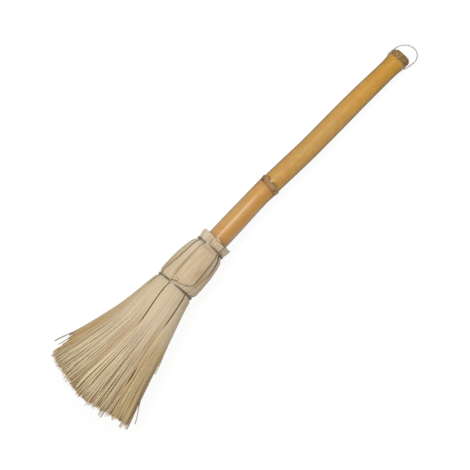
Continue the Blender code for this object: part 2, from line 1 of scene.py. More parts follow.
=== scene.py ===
"""Looks of a palm broom: its cane, split palm leaves, binding wires and hanging loop.

Lengths are millimetres until a mesh is made. A point of the broom is given as d, along its
axis from the waist wire towards the loop, with y and z across it. An angle of 0 degrees is up
and 90 degrees is towards +Y. Every mesh carries an attribute named grain, which its finish
reads, so that streaks and edges follow the piece.
"""

from __future__ import annotations

import json
import logging
import math
from collections.abc import Callable, Sequence
from dataclasses import dataclass, replace
from enum import Enum

import bmesh
import bpy
import numpy as np
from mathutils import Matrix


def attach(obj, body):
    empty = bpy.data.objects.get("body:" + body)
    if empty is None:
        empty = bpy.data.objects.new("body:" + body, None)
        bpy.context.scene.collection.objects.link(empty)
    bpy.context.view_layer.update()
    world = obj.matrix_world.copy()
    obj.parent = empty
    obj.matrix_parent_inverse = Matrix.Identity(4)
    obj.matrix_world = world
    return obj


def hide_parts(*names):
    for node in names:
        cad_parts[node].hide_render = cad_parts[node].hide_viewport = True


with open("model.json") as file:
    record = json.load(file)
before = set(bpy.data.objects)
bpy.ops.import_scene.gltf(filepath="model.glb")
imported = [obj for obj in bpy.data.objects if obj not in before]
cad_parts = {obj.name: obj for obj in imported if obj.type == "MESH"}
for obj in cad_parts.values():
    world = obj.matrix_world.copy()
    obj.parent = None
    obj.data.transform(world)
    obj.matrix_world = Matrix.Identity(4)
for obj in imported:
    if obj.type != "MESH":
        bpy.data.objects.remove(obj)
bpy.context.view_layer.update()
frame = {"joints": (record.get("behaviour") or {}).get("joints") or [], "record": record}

# Merging distance in metres, counts of steps, a direction that no wire follows, a wire's domed
# end as reach and size, and what is added to a worn strand's number.
MM = 0.001
MERGE_DISTANCE = 2e-7
FINE_STEPS = 6000
WINDOW_STEPS = 7
ANY_DIRECTION = (0.31, 0.57, 0.76)
DOME = ((0.35, 0.0), (0.25, 0.85))
WORN_NUMBER = 60.0
LOBE_FOOT = 175.2
LOBES = ((37.0, 25.0, 7.0), (-16.0, 27.0, 6.0), (100.0, 30.0, 4.5), (165.0, 28.0, 5.5),
         (-130.0, 30.0, 5.0), (-75.0, 22.0, 3.0))
TOP_EDGE = 409.9
TAU = 2.0 * math.pi
log = logging.getLogger("palm_broom")

Array = np.ndarray
Material = bpy.types.Material
Pair = tuple[float, float]
Triple = tuple[float, float, float]
Colour = tuple[float, float, float, float]
Outline = tuple[Pair, ...]
Value = "Signal | float"


class Body(Enum):
    """The two bodies that move apart: the broom and its hanging loop."""

    BROOM = "broom"
    HANGER = "hanger"


class Slot(Enum):
    """Finishes that the record names."""

    CANE = "cane"
    DRY_SHEATH = "dry_sheath"
    LEAF_OUTER = "leaf_outer"
    LEAF_INNER = "leaf_inner"
    LEAF_FLAP = "leaf_flap"
    BRIGHT_WIRE = "bright_wire"
    DULL_WIRE = "dull_wire"


def seen(red: float, green: float, blue: float) -> Colour:
    """Linear colour of one that is seen as red, green and blue from 0 to 255."""
    return (*(((c / 255.0 + 0.055) / 1.055) ** 2.4 for c in (red, green, blue)), 1.0)


def ease(x: Array | float) -> Array:
    """Smooth step from 0 to 1, held outside that range."""
    held = np.clip(x, 0.0, 1.0)
    return held * held * (3.0 - 2.0 * held)


def bell(x: Array | float) -> Array:
    """Bell curve of height 1 at 0 that has all but gone at 2."""
    return np.exp(-np.square(x))


def crowded(start: float, end: float, step: float, places: Sequence[Triple] = ()) -> Array:
    """Stations from start to end that stand closer together round some places.

    The stations cut the area under 1 + sum of extra * bell((x - centre) / width) into equal parts.

    Args:
        start: First station.
        end: Last station, above or below the first.
        step: Spacing away from the places.
        places: Centre, width and extra density of each place.

    Returns:
        The stations, from start to end.
    """
    fine = np.linspace(start, end, FINE_STEPS)
    density = np.ones_like(fine)
    for centre, width, extra in places:
        density += extra * bell((fine - centre) / width)
    area = np.concatenate([[0.0], np.cumsum(0.5 * (density[1:] + density[:-1]))])
    area *= abs(end - start) / (len(fine) - 1) / step
    count = max(2, int(round(area[-1])))
    return np.interp(np.linspace(0.0, area[-1], count + 1), area, fine)


def smoothed(x: Array, outline: Sequence[Pair], reach: float) -> Array:
    """Straight lines through an outline's points, averaged over a window.

    Args:
        x: Stations.
        outline: Station and size of each point.
        reach: How far the window reaches each way.

    Returns:
        The size at each station.
    """
    stations, sizes = zip(*outline)
    shifts = np.linspace(-reach, reach, WINDOW_STEPS)
    return np.mean([np.interp(x + shift, stations, sizes) for shift in shifts], axis=0)


def triples(x: Array | float, y: Array | float, z: Array | float) -> Array:
    """Points, or other triples, from three arrays that fit together."""
    return np.stack(np.broadcast_arrays(x, y, z), -1)


def unit(vectors: Array) -> Array:
    """Vectors of length 1 that point the same way."""
    return vectors / np.linalg.norm(vectors, axis=-1, keepdims=True)


def once_round(count: int) -> Array:
    """Evenly spaced angles in radians, once round."""
    return np.linspace(0.0, TAU, count, endpoint=False)


def distances(path: Array) -> Array:
    """Distance along a path to each of its points."""
    return np.concatenate([[0.0], np.cumsum(np.linalg.norm(np.diff(path, axis=0), axis=1))])


def rotation(axis: int, angle: float) -> Array:
    """Matrix of a turn about one axis.

    Args:
        axis: 0, 1 or 2 for x, y or z.
        angle: Turn in radians.

    Returns:
        The matrix.
    """
    after, last = (axis + 1) % 3, (axis + 2) % 3
    matrix = np.eye(3)
    matrix[after, after] = matrix[last, last] = math.cos(angle)
    matrix[last, after] = math.sin(angle)
    matrix[after, last] = -math.sin(angle)
    return matrix


@dataclass(frozen=True)
class Ripple:
    """Smooth unevenness over a surface: a sum of sine waves with seeded directions and phases."""

    seed: int
    along: float
    across: float
    waves: int = 9

    def at(self, along: Array, across: Array) -> Array:
        """Height at places on the surface, mostly between -1 and 1.

        Args:
            along: Distance along the grain.
            across: Distance across the grain.

        Returns:
            The sum of the waves divided by the root of their count.
        """
        chance = np.random.default_rng(self.seed)
        total = np.zeros(np.broadcast(along, across).shape)
        for _ in range(self.waves):
            first, second = chance.uniform(-1.0, 1.0, 2)
            phase = chance.uniform(0.0, TAU)
            place = first * along / self.along + second * across / self.across
            total += np.sin(TAU * place + phase)
        return total / math.sqrt(self.waves)


@dataclass(frozen=True)
class BroomAxis:
    """The broom's own axis, and its place in the frame."""

    shift: float = 0.3
    fan_bends: Outline = ((-6.0, -0.104), (-62.0, 0.104))
    bends: Outline = ((160.0, -0.068), (242.0, 0.043), (335.0, -0.028))
    bend_width: float = 12.0
    hinge_d: float = 399.6

    def ramp(self, x: Array) -> Array:
        """Nothing well below zero and x well above it, with a smooth bend between."""
        return 0.5 * (x + np.hypot(x, self.bend_width))

    def sideways(self, d: Array | float) -> Array:
        """Sideways place of the axis: a ramp for each bend of the fan and of the cane.

        Args:
            d: Place along the axis.

        Returns:
            Its y at each place.
        """
        along = np.asarray(d, float)
        place = np.full_like(along, self.shift)
        for start, change in self.fan_bends:
            place = place + change * self.ramp(start - along)
        for start, change in self.bends:
            place = place + change * self.ramp(along - start)
        return place

    @property
    def turn(self) -> Array:
        """Matrix that lays the axis down on the floor, from the way the cane's end faces."""
        faces = next(m for m in frame["record"]["mounts"] if m["name"] == "cane_end")["axis"]
        cosine, sine = faces[0], -faces[2]
        return np.array([[cosine, 0.0, sine], [0.0, 1.0, 0.0], [-sine, 0.0, cosine]])

    @property
    def origin(self) -> Array:
        """Place of the axis at the waist wire in metres, worked back from the loop's hinge."""
        hinge = np.array(frame["joints"][0]["pos_m"])
        local = np.array([self.hinge_d, float(self.sideways(self.hinge_d)), 0.0]) * MM
        return hinge - self.turn @ local

    def to_frame(self, points: Array) -> Array:
        """Metres in the frame of points in millimetres along the broom's straight axis."""
        return points * MM @ self.turn.T + self.origin

    def around(self, d: Array, radius: Array, angle: Array) -> Array:
        """Points at a radius and an angle in radians about the bent axis."""
        return triples(d, radius * np.sin(angle) + self.sideways(d), radius * np.cos(angle))


AXIS = BroomAxis()


@dataclass
class Patch:
    """Points, four-cornered faces and the grain value of each point."""

    points: Array
    faces: Array
    grain: Array

    @staticmethod
    def of_grid(points: Array, grain: Array, flip: bool = False) -> Patch:
        """Grid of points, row by row, whose last column joins its first."""
        faces = grid_faces(*points.shape[:2], around=True, flip=flip)
        return Patch(points.reshape(-1, 3), faces, grain.reshape(-1, 3))

    @staticmethod
    def joined(patches: Sequence[Patch]) -> Patch:
        """All the patches as one, with their faces renumbered."""
        starts = np.cumsum([0] + [len(p.points) for p in patches[:-1]])
        return Patch(np.concatenate([p.points for p in patches]),
                     np.concatenate([p.faces + s for p, s in zip(patches, starts)]),
                     np.concatenate([p.grain for p in patches]))


def grid_faces(rows: int, columns: int, around: bool = False, flip: bool = False) -> Array:
    """Faces of a grid of points numbered row by row.

    Args:
        rows: Number of rows.
        columns: Number of columns.
        around: Whether the last column joins the first.
        flip: Whether the faces look the other way.

    Returns:
        One row of four point numbers for each face.
    """
    here = np.arange(rows * columns).reshape(rows, columns)
    after = np.roll(here, -1, axis=1)
    span = columns if around else columns - 1
    corners = [here[:-1, :span], after[:-1, :span], after[1:, :span], here[1:, :span]]
    if flip:
        corners.reverse()
    return np.stack(corners, -1).reshape(-1, 4)


def merged_mesh(name: str, patch: Patch, cutter: bool = False) -> bpy.types.Mesh:
    """Mesh of a patch in the frame, with its doubled points merged.

    Args:
        name: Name of the mesh.
        patch: Its surface, in millimetres.
        cutter: Whether it only cuts, with normals worked out anew and no grain.

    Returns:
        The mesh.
    """
    mesh = bpy.data.meshes.new(name)
    mesh.from_pydata(AXIS.to_frame(patch.points).tolist(), [], patch.faces.tolist())
    if not cutter:
        mesh.attributes.new("grain", "FLOAT_VECTOR", "POINT")
        mesh.attributes["grain"].data.foreach_set("vector", patch.grain.astype(np.float32).ravel())
    shape = bmesh.new()
    shape.from_mesh(mesh)
    bmesh.ops.remove_doubles(shape, verts=shape.verts, dist=MERGE_DISTANCE)
    if cutter:
        bmesh.ops.recalc_face_normals(shape, faces=shape.faces)
    shape.to_mesh(mesh)
    shape.free()
    return mesh


def linked(name: str, data: bpy.types.ID) -> bpy.types.Object:
    """Object of some data, linked to the scene.

    Args:
        name: Name of the object.
        data: Its mesh, lamp or camera.

    Returns:
        The object.
    """
    made = bpy.data.objects.new(name, data)
    bpy.context.scene.collection.objects.link(made)
    return made


def make_piece(name: str, patch: Patch, finish: Material, body: Body,
               nodes: Sequence[str], sharp: float) -> bpy.types.Object:
    """Turn a patch into a piece of the broom that rides on a body.

    Args:
        name: Name of the piece.
        patch: Its surface, in millimetres.
        finish: Its material.
        body: The body that carries it.
        nodes: Solids that the piece stands for.
        sharp: Angle in degrees past which an edge stays sharp.

    Returns:
        The piece, at the origin, with its place in its mesh.
    """
    mesh = merged_mesh(name, patch)
    mesh.shade_smooth()
    mesh.set_sharp_from_angle(angle=math.radians(sharp))
    mesh.materials.append(finish)
    piece = linked(name, mesh)
    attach(piece, body.value)
    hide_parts(*nodes)
    log.info("%s: %d points, %d faces", name, len(mesh.vertices), len(mesh.polygons))
    return piece


@dataclass(frozen=True)
class Signal:
    """One output of a node; arithmetic on it adds Math nodes."""

    graph: Graph
    socket: bpy.types.NodeSocket

    def math(self, operation: str, *values: Value) -> Signal:
        """Math node of one operation on the values."""
        return self.graph.node("ShaderNodeMath", {"operation": operation}, dict(enumerate(values)))

    def __add__(self, other: Value) -> Signal:
        """Sum."""
        return self.math("ADD", self, other)

    __radd__ = __add__

    def __mul__(self, other: Value) -> Signal:
        """Product."""
        return self.math("MULTIPLY", self, other)

    __rmul__ = __mul__

    def __sub__(self, other: Value) -> Signal:
        """Difference."""
        return self.math("SUBTRACT", self, other)

    def __rsub__(self, other: Value) -> Signal:
        """Difference the other way."""
        return self.math("SUBTRACT", other, self)

    def __truediv__(self, other: Value) -> Signal:
        """Quotient."""
        return self.math("DIVIDE", self, other)

    def __abs__(self) -> Signal:
        """Size without its sign."""
        return self.math("ABSOLUTE", self)

    def floor(self) -> Signal:
        """Whole part."""
        return self.math("FLOOR", self)

    def fraction(self) -> Signal:
        """Part after the point."""
        return self.math("FRACT", self)

    def larger(self, other: Value) -> Signal:
        """The larger of two values."""
        return self.math("MAXIMUM", self, other)

    def eased(self, low: float, high: float) -> Signal:
        """Smooth step, which may also fall.

        Args:
            low: Value at which it is 0, above high where the step falls.
            high: Value at which it is 1.

        Returns:
            The step.
        """
        settings = {"interpolation_type": "SMOOTHSTEP", "clamp": True}
        if low < high:
            return self.graph.node("ShaderNodeMapRange", settings, {0: self, 1: low, 2: high})
        return 1.0 - self.eased(high, low)

    def bell(self, centre: float, width: float) -> Signal:
        """Bell curve round a centre, as a power of e."""
        away = (self - centre) / width
        return self.math("EXPONENT", away * away * -1.0)


class Graph:
    """Nodes of one material or world."""

    def __init__(self, name: str, world: bool = False) -> None:
        """Start empty.

        Args:
            name: Name of the material or world.
            world: Whether it is a world.
        """
        self.world = world
        self.owner = (bpy.data.worlds if world else bpy.data.materials).new(name)
        self.owner.use_nodes = True
        self.tree = self.owner.node_tree
        self.tree.nodes.clear()

    def node(self, kind: str, settings: dict | None = None, inputs: dict | None = None,
             output: int | str | None = 0) -> Signal | None:
        """Add a node.

        Args:
            kind: Type of the node.
            settings: Its own settings, set first.
            inputs: Values or signals by socket.
            output: Which output to give back, or None for a node that has none.

        Returns:
            The chosen output.
        """
        made = self.tree.nodes.new(kind)
        for key, value in (settings or {}).items():
            setattr(made, key, value)
        for key, value in (inputs or {}).items():
            if isinstance(value, Signal):
                self.tree.links.new(value.socket, made.inputs[key])
            else:
                made.inputs[key].default_value = value
        return None if output is None else Signal(self, made.outputs[output])

    def grain(self) -> tuple[Signal, Signal, Signal]:
        """The three numbers of the grain attribute."""
        whole = self.node("ShaderNodeAttribute", {"attribute_name": "grain"}, output="Vector")
        parts = self.node("ShaderNodeSeparateXYZ", None, {0: whole}).socket.node.outputs
        return Signal(self, parts[0]), Signal(self, parts[1]), Signal(self, parts[2])

    def noise(self, x: Value, y: Value, z: Value, detail: float = 3.0,
              roughness: float = 0.55) -> Signal:
        """Noise from 0 to 1.

        Args:
            x: First number of the place, already scaled.
            y: Second number.
            z: Third number.
            detail: Octaves.
            roughness: Share of the finer octaves.

        Returns:
            The noise.
        """
        place = self.node("ShaderNodeCombineXYZ", None, {0: x, 1: y, 2: z})
        inputs = {"Vector": place, "Scale": 1.0, "Detail": detail, "Roughness": roughness}
        return self.node("ShaderNodeTexNoise", None, inputs)

    def chance(self, number: Signal) -> Signal:
        """A random value from 0 to 1 for each number."""
        return self.node("ShaderNodeTexWhiteNoise", {"noise_dimensions": "1D"}, {"W": number})

    def painted(self, base: Signal | Colour, *coats: tuple[Signal | Colour, Signal]) -> Signal:
        """Colour of a base under coats.

        Args:
            base: Colour underneath.
            coats: Colour of each coat and the share of it that shows, from the lowest up.

        Returns:
            The colour on top.
        """
        settings = {"data_type": "RGBA", "clamp_factor": True}
        for colour, share in coats:
            base = self.node("ShaderNodeMix", settings, {0: share, 6: base, 7: colour}, output=2)
        return base

    def bump(self, height: Signal, depth: float, strength: float = 1.0) -> Signal:
        """Normal of a relief of that depth in millimetres."""
        inputs = {"Height": height, "Distance": depth * MM, "Strength": strength}
        return self.node("ShaderNodeBump", None, inputs)

    def finished(self, inputs: dict[str, Signal | Colour | float]) -> Material:
        """Material of a principled shader with these inputs."""
        return self.shown(self.node("ShaderNodeBsdfPrincipled", None, inputs))

    def shown(self, shader: Signal) -> Material | bpy.types.World:
        """Connect a shader to the output.

        Args:
            shader: The shader.

        Returns:
            The material or world.
        """
        kind = "ShaderNodeOutputWorld" if self.world else "ShaderNodeOutputMaterial"
        self.node(kind, None, {"Surface": shader}, output=None)
        return self.owner

    def seen_directly(self) -> Signal:
        """1 for camera, glossy and transmission rays, and 0 for the rest."""
        camera = self.node("ShaderNodeLightPath", output="Is Camera Ray")
        rays = camera.socket.node.outputs
        glossy, clear = (Signal(self, rays[f"Is {kind} Ray"])
                         for kind in ("Glossy", "Transmission"))
        return camera.larger(glossy).larger(clear)


@dataclass(frozen=True)
class LeafFinish:
    """Dry palm leaf: veins and streaks along the grain, a tone for each strand, dark cut edges,
    and painted shade at seams, between strands, on inner layers and on low sides of leaves.
    """

    name: str
    pale: Colour = seen(215, 199, 170)
    plain: Colour = seen(196, 178, 146)
    brown: Colour = seen(170, 134, 82)
    pink: Colour = seen(208, 178, 148)
    # Dark of veins and cut edges, also used for painted shade.
    dark: Colour = seen(108, 76, 36)
    # Golden of a leaf's inner layer: a less bleached tone, and painted shade in the gaps.
    under: Colour = seen(166, 128, 66)
    worn: Colour = seen(158, 152, 142)
    near: Colour = seen(226, 214, 192)
    far: Colour = seen(224, 208, 168)
    far_share: float = 0.75
    far_start: float = -75.0
    far_end: float = -150.0
    brown_share: float = 0.35
    worn_strand: float = -100.0
    streaky_strand: float = -100.0

    def material(self) -> Material:
        """Nodes of the finish.

        Returns:
            The material.
        """
        graph = Graph(self.name)
        along, strand, layer = graph.grain()
        mark, edge = layer.floor(), layer.fraction()
        number = strand.floor() + mark * 57.0
        tone, other_tone = graph.chance(number), graph.chance(number + 0.5)
        bunch = graph.chance((strand * 0.34).floor() + mark * 31.0)
        vein = graph.chance((strand + 0.5).floor() + mark * 91.0)
        away = abs(strand.fraction() - 0.5)
        broad = graph.noise(along * 0.006, strand * 0.3, mark)
        streak = graph.noise(along * 0.012, strand * 0.9, mark, 5.0, 0.62)
        fine = graph.noise(along * 0.03, strand * 5.0, mark, 3.0, 0.6)
        blotch = graph.noise(along * 0.035, strand * 0.12, mark, 2.0)
        split = along.eased(-50.0, -120.0)
        deeper_layer_shade = (mark * 0.5).fraction() * 2.0
        paleness = broad.eased(0.36, 0.6) * 0.55 + streak.eased(0.32, 0.62) * 0.45
        upward = 0.4 + along.eased(0.0, 8.0) * 0.5
        brownness = blotch.eased(0.52, 0.74) * 0.5 + fine.eased(0.5, 0.8) * upward
        streaky = strand.eased(self.streaky_strand + 8.0, self.streaky_strand)
        streaky = streaky * along.eased(4.0, 16.0)
        low_side_shade = strand.eased(self.streaky_strand + 9.0, self.streaky_strand - 3.0)
        patchy = (0.65 + blotch.eased(0.35, 0.6) * 0.6) * self.far_share * (1.0 - low_side_shade * 0.45)
        browner = tone.eased(0.62, 1.0) * (0.25 + streak.eased(0.4, 0.6) * 0.5)
        bunched = bunch.eased(0.72, 0.9) * streak.eased(0.42, 0.58)
        line = vein.eased(0.5, 0.95) * 0.25 + along.eased(-50.0, -110.0) * 0.2
        weathered = strand.bell(self.worn_strand, 7.0) * along.eased(-60.0, -100.0) * 0.55
        colour = graph.painted(
            self.plain,
            (self.pale, paleness),
            (self.brown, brownness * self.brown_share),
            (self.pink, broad.eased(0.5, 0.36) * 0.4),
            (self.brown, streaky * (0.2 + fine.eased(0.42, 0.6) * 0.7)),
            (self.near, along.eased(20.0, 62.0) * 0.5),
            # Painted shade: browner on the low side of a plain leaf in the fan.
            (self.brown, low_side_shade * along.eased(-25.0, -75.0) * 0.45),
            (self.far, along.eased(self.far_start, self.far_end) * patchy),
            (self.brown, browner * (0.75 + self.brown_share) * split),
            (self.brown, bunched * split * 0.6),
            (self.pale, other_tone.eased(0.6, 1.0) * split * 0.5),
            (self.pink, blotch.eased(0.48, 0.36) * along.eased(-70.0, -110.0) * 0.45),
            # Painted shade in the gaps: the inner layer darker golden in the fan, also less
            # bleached.
            (self.under, deeper_layer_shade * along.eased(-40.0, -110.0) * 0.3),
            # Dark veins, and painted shade along every strand's edges in the fan where strands
            # part.
            (self.dark, away.eased(0.3, 0.5) * line),
            # Dark cut edges at the seams, with painted shade where one leaf overlaps the next.
            (self.dark, edge.eased(0.1, 0.8) * 0.9),
            (self.worn, strand.eased(46.0, 58.0).larger(weathered) * 0.9))
        relief = fine * 0.5 + streak * 0.4 - away * 1.2
        return graph.finished({"Base Color": colour, "Roughness": 0.6 + fine * 0.2,
                               "Specular IOR Level": 0.35, "Normal": graph.bump(relief, 0.16, 0.8)})


@dataclass(frozen=True)
class FlapFinish:
    """Smooth outer face of a palm leaf stalk, with a tan patch and darker cut edges, whose dark
    band widens on the -Y side as painted shade.
    """

    name: str
    pale: Colour = seen(208, 188, 157)
    plain: Colour = seen(193, 171, 138)
    tan: Colour = seen(186, 150, 112)
    olive: Colour = seen(190, 176, 138)
    edge: Colour = seen(84, 60, 30)

    def material(self) -> Material:
        """Nodes of the finish.

        Returns:
            The material.
        """
        graph = Graph(self.name)
        along, across, rim = graph.grain()
        upper_edge = across.eased(9.0, 12.0) * along.eased(30.0, 52.0)
        streak = graph.noise(along * 0.03, across * 0.28, 3.0, 5.0, 0.6)
        fine = graph.noise(along * 0.07, across * 2.6, 1.0)
        cloud = graph.noise(along * 0.06, across * 0.12, 8.0, 2.0)
        patch = (along + across * 1.1).bell(22.0, 7.0) * across.bell(-8.0, 5.0)
        colour = graph.painted(
            self.plain,
            (self.pale, streak.eased(0.35, 0.65)),
            (self.tan, fine.eased(0.55, 0.8) * 0.22),
            (self.olive, cloud.eased(0.5, 0.64) * 0.4),
            (self.tan, cloud.eased(0.46, 0.34) * 0.3),
            (self.tan, patch * 0.55),
            # Dark cut edge, widening on the -Y side into painted shade.
            (self.edge, rim.eased(0.0, 0.8) * (1.0 - upper_edge) * 0.95))
        return graph.finished({"Base Color": colour, "Roughness": 0.55 + fine * 0.2,
                               "Specular IOR Level": 0.4,
                               "Normal": graph.bump(fine * 0.6 + streak * 0.5, 0.15, 0.8)})


@dataclass(frozen=True)
class Crust:
    """Rough dry skin at the cane's end: tan, with dark, reddish and greyish patches."""

    tan: Colour = seen(170, 138, 80)
    dark: Colour = seen(92, 70, 34)
    red: Colour = seen(160, 98, 54)
    grey: Colour = seen(136, 116, 102)

    def colour(self, graph: Graph, x: Value, y: Signal, z: Value) -> Signal:
        """Colour at a place in millimetres.

        Args:
            graph: Graph of the material.
            x: First number of the place.
            y: Second number.
            z: Third number.

        Returns:
            The colour.
        """
        near = graph.noise(x * 0.2, y * 0.2, z * 0.2, 3.0, 0.6)
        other = graph.noise(x * 0.16 + 40.0, y * 0.16, z * 0.16, 2.0, 0.5)
        return graph.painted(
            self.tan,
            (self.red, near.eased(0.5, 0.62) * 0.75),
            (self.grey, other.eased(0.52, 0.64) * 0.8),
            (self.dark, near.eased(0.46, 0.36) * 0.85))


@dataclass(frozen=True)
class CrustFinish:
    """The crust as a finish of its own, for the sheath round the cane's end."""

    name: str
    crust: Crust = Crust()
    pale: Colour = seen(204, 172, 116)

    def material(self) -> Material:
        """Nodes of the finish.

        Returns:
            The material.
        """
        graph = Graph(self.name)
        along, across, height = graph.grain()
        tone = graph.chance((across * 0.01).floor())
        fibre = graph.noise(along * 0.25, across * 0.9, 5.0, 3.0, 0.6)
        colour = graph.painted(
            self.crust.colour(graph, along, across, height * 0.0),
            (self.crust.dark, fibre.eased(0.55, 0.7) * 0.4),
            (self.pale, tone.eased(0.55, 0.85) * height.eased(1.5, 2.0) * 0.6))
        return graph.finished({"Base Color": colour, "Roughness": 0.82, "Specular IOR Level": 0.25,
                               "Normal": graph.bump(fibre, 0.3, 0.9)})


@dataclass(frozen=True)
class CaneFinish:
    """Varnished cane: golden skin with fine streaks, a dark node and a fibrous cut end,
    with painted shade on its sides and -Y side and a painted highlight by the node.
    """

    name: str
    lower: Colour = seen(193, 147, 78)
    upper: Colour = seen(188, 146, 70)
    top: Colour = seen(174, 130, 32)
    amber: Colour = seen(190, 120, 52)
    amber_and_painted_shade: Colour = seen(182, 122, 22)
    gold: Colour = seen(208, 162, 78)
    olive: Colour = seen(146, 118, 52)
    # Painted shade of the cane's sides and underside.
    side: Colour = seen(98, 80, 42)
    scar: Colour = seen(84, 56, 26)
    node_line: Colour = seen(160, 104, 70)
    painted_highlight: Colour = seen(216, 178, 138)
    ridge: Colour = seen(176, 146, 78)
    back: Colour = seen(200, 142, 30)
    cut_end: Colour = seen(176, 146, 96)
    crust: Crust = Crust()

    def material(self) -> Material:
        """Nodes of the finish.

        Returns:
            The material.
        """
        graph = Graph(self.name)
        along, y, z = graph.grain()
        streak = graph.noise(along * 0.012, y * 0.35, z * 0.35, 4.0, 0.6)
        mottle = graph.noise(along * 0.055, y * 0.11, z * 0.11, 3.0, 0.6)
        cloud = graph.noise(along * 0.12, y * 0.16, z * 0.16, 2.0)
        speck = graph.noise(along * 0.5, y * 1.7, z * 1.7, 2.0, 0.5)
        ends = graph.noise(7.0, y * 1.1, z * 1.1, 2.0)
        slanted = along - y * 0.164
        node = slanted.bell(171.6, 1.0)
        # Painted highlight: a pale spot on the cane's top between the node's two lobes.
        between = y.bell(2.3, 2.2) * along.bell(179.0, 2.6) * z.eased(0.0, 6.0)
        tilted = along - z.larger(0.0) * 0.36 + (mottle - 0.5) * 2.4
        crust, face = tilted.eased(398.2, 399.8), along.eased(413.3, 413.7)
        colour = graph.painted(
            self.lower,
            (self.upper, along.eased(150.0, 215.0)),
            (self.top, along.eased(325.0, 390.0)),
            (self.amber, mottle.eased(0.45, 0.7) * 0.42),
            (self.amber, streak.eased(0.5, 0.75) * 0.35),
            (self.olive, streak.eased(0.42, 0.22) * 0.3),
            (self.scar, speck.eased(0.68, 0.8) * 0.3),
            (self.gold, cloud.eased(0.5, 0.66) * 0.4),
            # An amber tone and painted shade on the -Y side of the lower cane, away from the lamp.
            (self.amber_and_painted_shade, y.bell(-6.5, 4.5) * along.eased(240.0, 130.0) * 0.65),
            (self.back, along.eased(285.0, 335.0) * z.eased(7.5, 11.5) * 0.5),
            # Painted shade: darker towards the cane's sides and underside, where less light
            # reaches.
            (self.side, z.eased(9.0, 3.0) * 0.7),
            (self.node_line, node * 0.7 + slanted.bell(168.5, 4.0) * 0.25),
            (self.scar, node * (y.eased(6.0, 12.0) * 0.8 + 0.15)),
            (self.painted_highlight, between * 0.9),
            (self.ridge, tilted.bell(397.6, 1.3) * 0.7),
            (self.crust.colour(graph, along, y, z), crust),
            (graph.painted(self.cut_end, (self.scar, ends.eased(0.4, 0.7))), face))
        dull = crust.larger(node).larger(face)
        matte = along.eased(135.0, 165.0)
        rough = 0.34 + matte * 0.2 + mottle * 0.06 + dull * 0.3
        return graph.finished({"Base Color": colour, "Roughness": rough,
                               "Coat Weight": (1.0 - dull) * (0.34 - matte * 0.28),
                               "Coat Roughness": 0.22, "Normal": graph.bump(streak, 0.04, 0.6)})


@dataclass(frozen=True)
class SheathFinish:
    """Dry papery sheath round the middle node: a brown lobe, a pinkish one that turns olive."""

    name: str
    brown: Colour = seen(168, 134, 86)
    pink: Colour = seen(172, 132, 98)
    olive: Colour = seen(138, 116, 68)
    dark: Colour = seen(92, 62, 32)
    rim: Colour = seen(118, 80, 40)
    faded: Colour = seen(190, 160, 128)

    def material(self) -> Material:
        """Nodes of the finish.

        Returns:
            The material.
        """
        graph = Graph(self.name)
        along, across, height = graph.grain()
        blotch = graph.noise(along * 0.28, across * 0.22, 2.0, 3.0, 0.6)
        fibre = graph.noise(along * 0.12, across * 0.5, 5.0, 3.0, 0.6)
        front = across.bell(-3.6, 5.0)
        outline = height.eased(0.8, 0.97) * (1.0 - front * 0.75)
        far_side = across.eased(-10.0, -14.0) * across.eased(-26.0, -22.0)
        colour = graph.painted(
            self.brown,
            (self.olive, blotch.eased(0.4, 0.65) * 0.6),
            (self.pink, front * height.eased(0.85, 0.3)),
            (self.olive, front * height.eased(0.5, 0.8)),
            (self.dark, fibre.eased(0.56, 0.72) * 0.3),
            (self.dark, height.eased(0.14, 0.0) * 0.4),
            (self.dark, across.bell(-8.6, 1.8) * height.eased(0.75, 0.15) * 0.75),
            (self.dark, across.eased(8.5, 13.0) * height.eased(0.9, 0.2) * 0.6),
            (self.rim, outline * 0.85),
            (self.faded, far_side * 0.7))
        return graph.finished({"Base Color": colour, "Roughness": 0.78, "Specular IOR Level": 0.25,
                               "Normal": graph.bump(fibre + blotch * 0.5, 0.3, 0.9)})


@dataclass(frozen=True)
class WireFinish:
    """Drawn wire: metal with dull patches, a painted highlight where it glints, and painted
    shade round the rim of a nail's head.
    """

    name: str
    clean: Colour = seen(176, 176, 178)
    dull: Colour = seen(130, 128, 126)
    rim_shade: Colour = seen(110, 84, 62)
    painted_glint: Colour = seen(206, 198, 188)
    rough: float = 0.4
    patch: float = 0.35

    def material(self) -> Material:
        """Nodes of the finish.

        Returns:
            The material.
        """
        graph = Graph(self.name)
        # The grain's third number is a nail's radius, or below zero at a wire's painted highlight.
        along, across, reach = graph.grain()
        patches = graph.noise(along * self.patch, across * 0.5, 1.0, 4.0, 0.65)
        drawn = graph.noise(along * 0.12, across * 4.0, 6.0, 2.0)
        colour = graph.painted(
            self.clean,
            (self.dull, patches.eased(0.38, 0.62)),
            # Painted shade: darker brown round the rim of a nail's head.
            (self.rim_shade, reach.eased(1.45, 1.85)),
            # Painted highlight: pale where the grain's third number is below zero.
            (self.painted_glint, reach.eased(-0.1, -0.8) * 0.85))
        return graph.finished({"Base Color": colour, "Metallic": 1.0,
                               "Roughness": self.rough + patches * 0.25,
                               "Normal": graph.bump(drawn, 0.02, 0.6)})


def station_frames(path: Array) -> tuple[Array, Array]:
    """Two directions square to a path, carried along it without twisting.

    Each step turns the last direction by the smallest turn that squares it to the new tangent.

    Args:
        path: Points along the path.

    Returns:
        Two unit directions at each point.
    """
    ahead = unit(np.gradient(path, axis=0))
    sides = [unit(np.cross(ahead[0], ANY_DIRECTION))]
    for tangent in ahead[1:]:
        sides.append(unit(sides[-1] - tangent * (sides[-1] @ tangent)))
    side = np.array(sides)
    return side, np.cross(ahead, side)


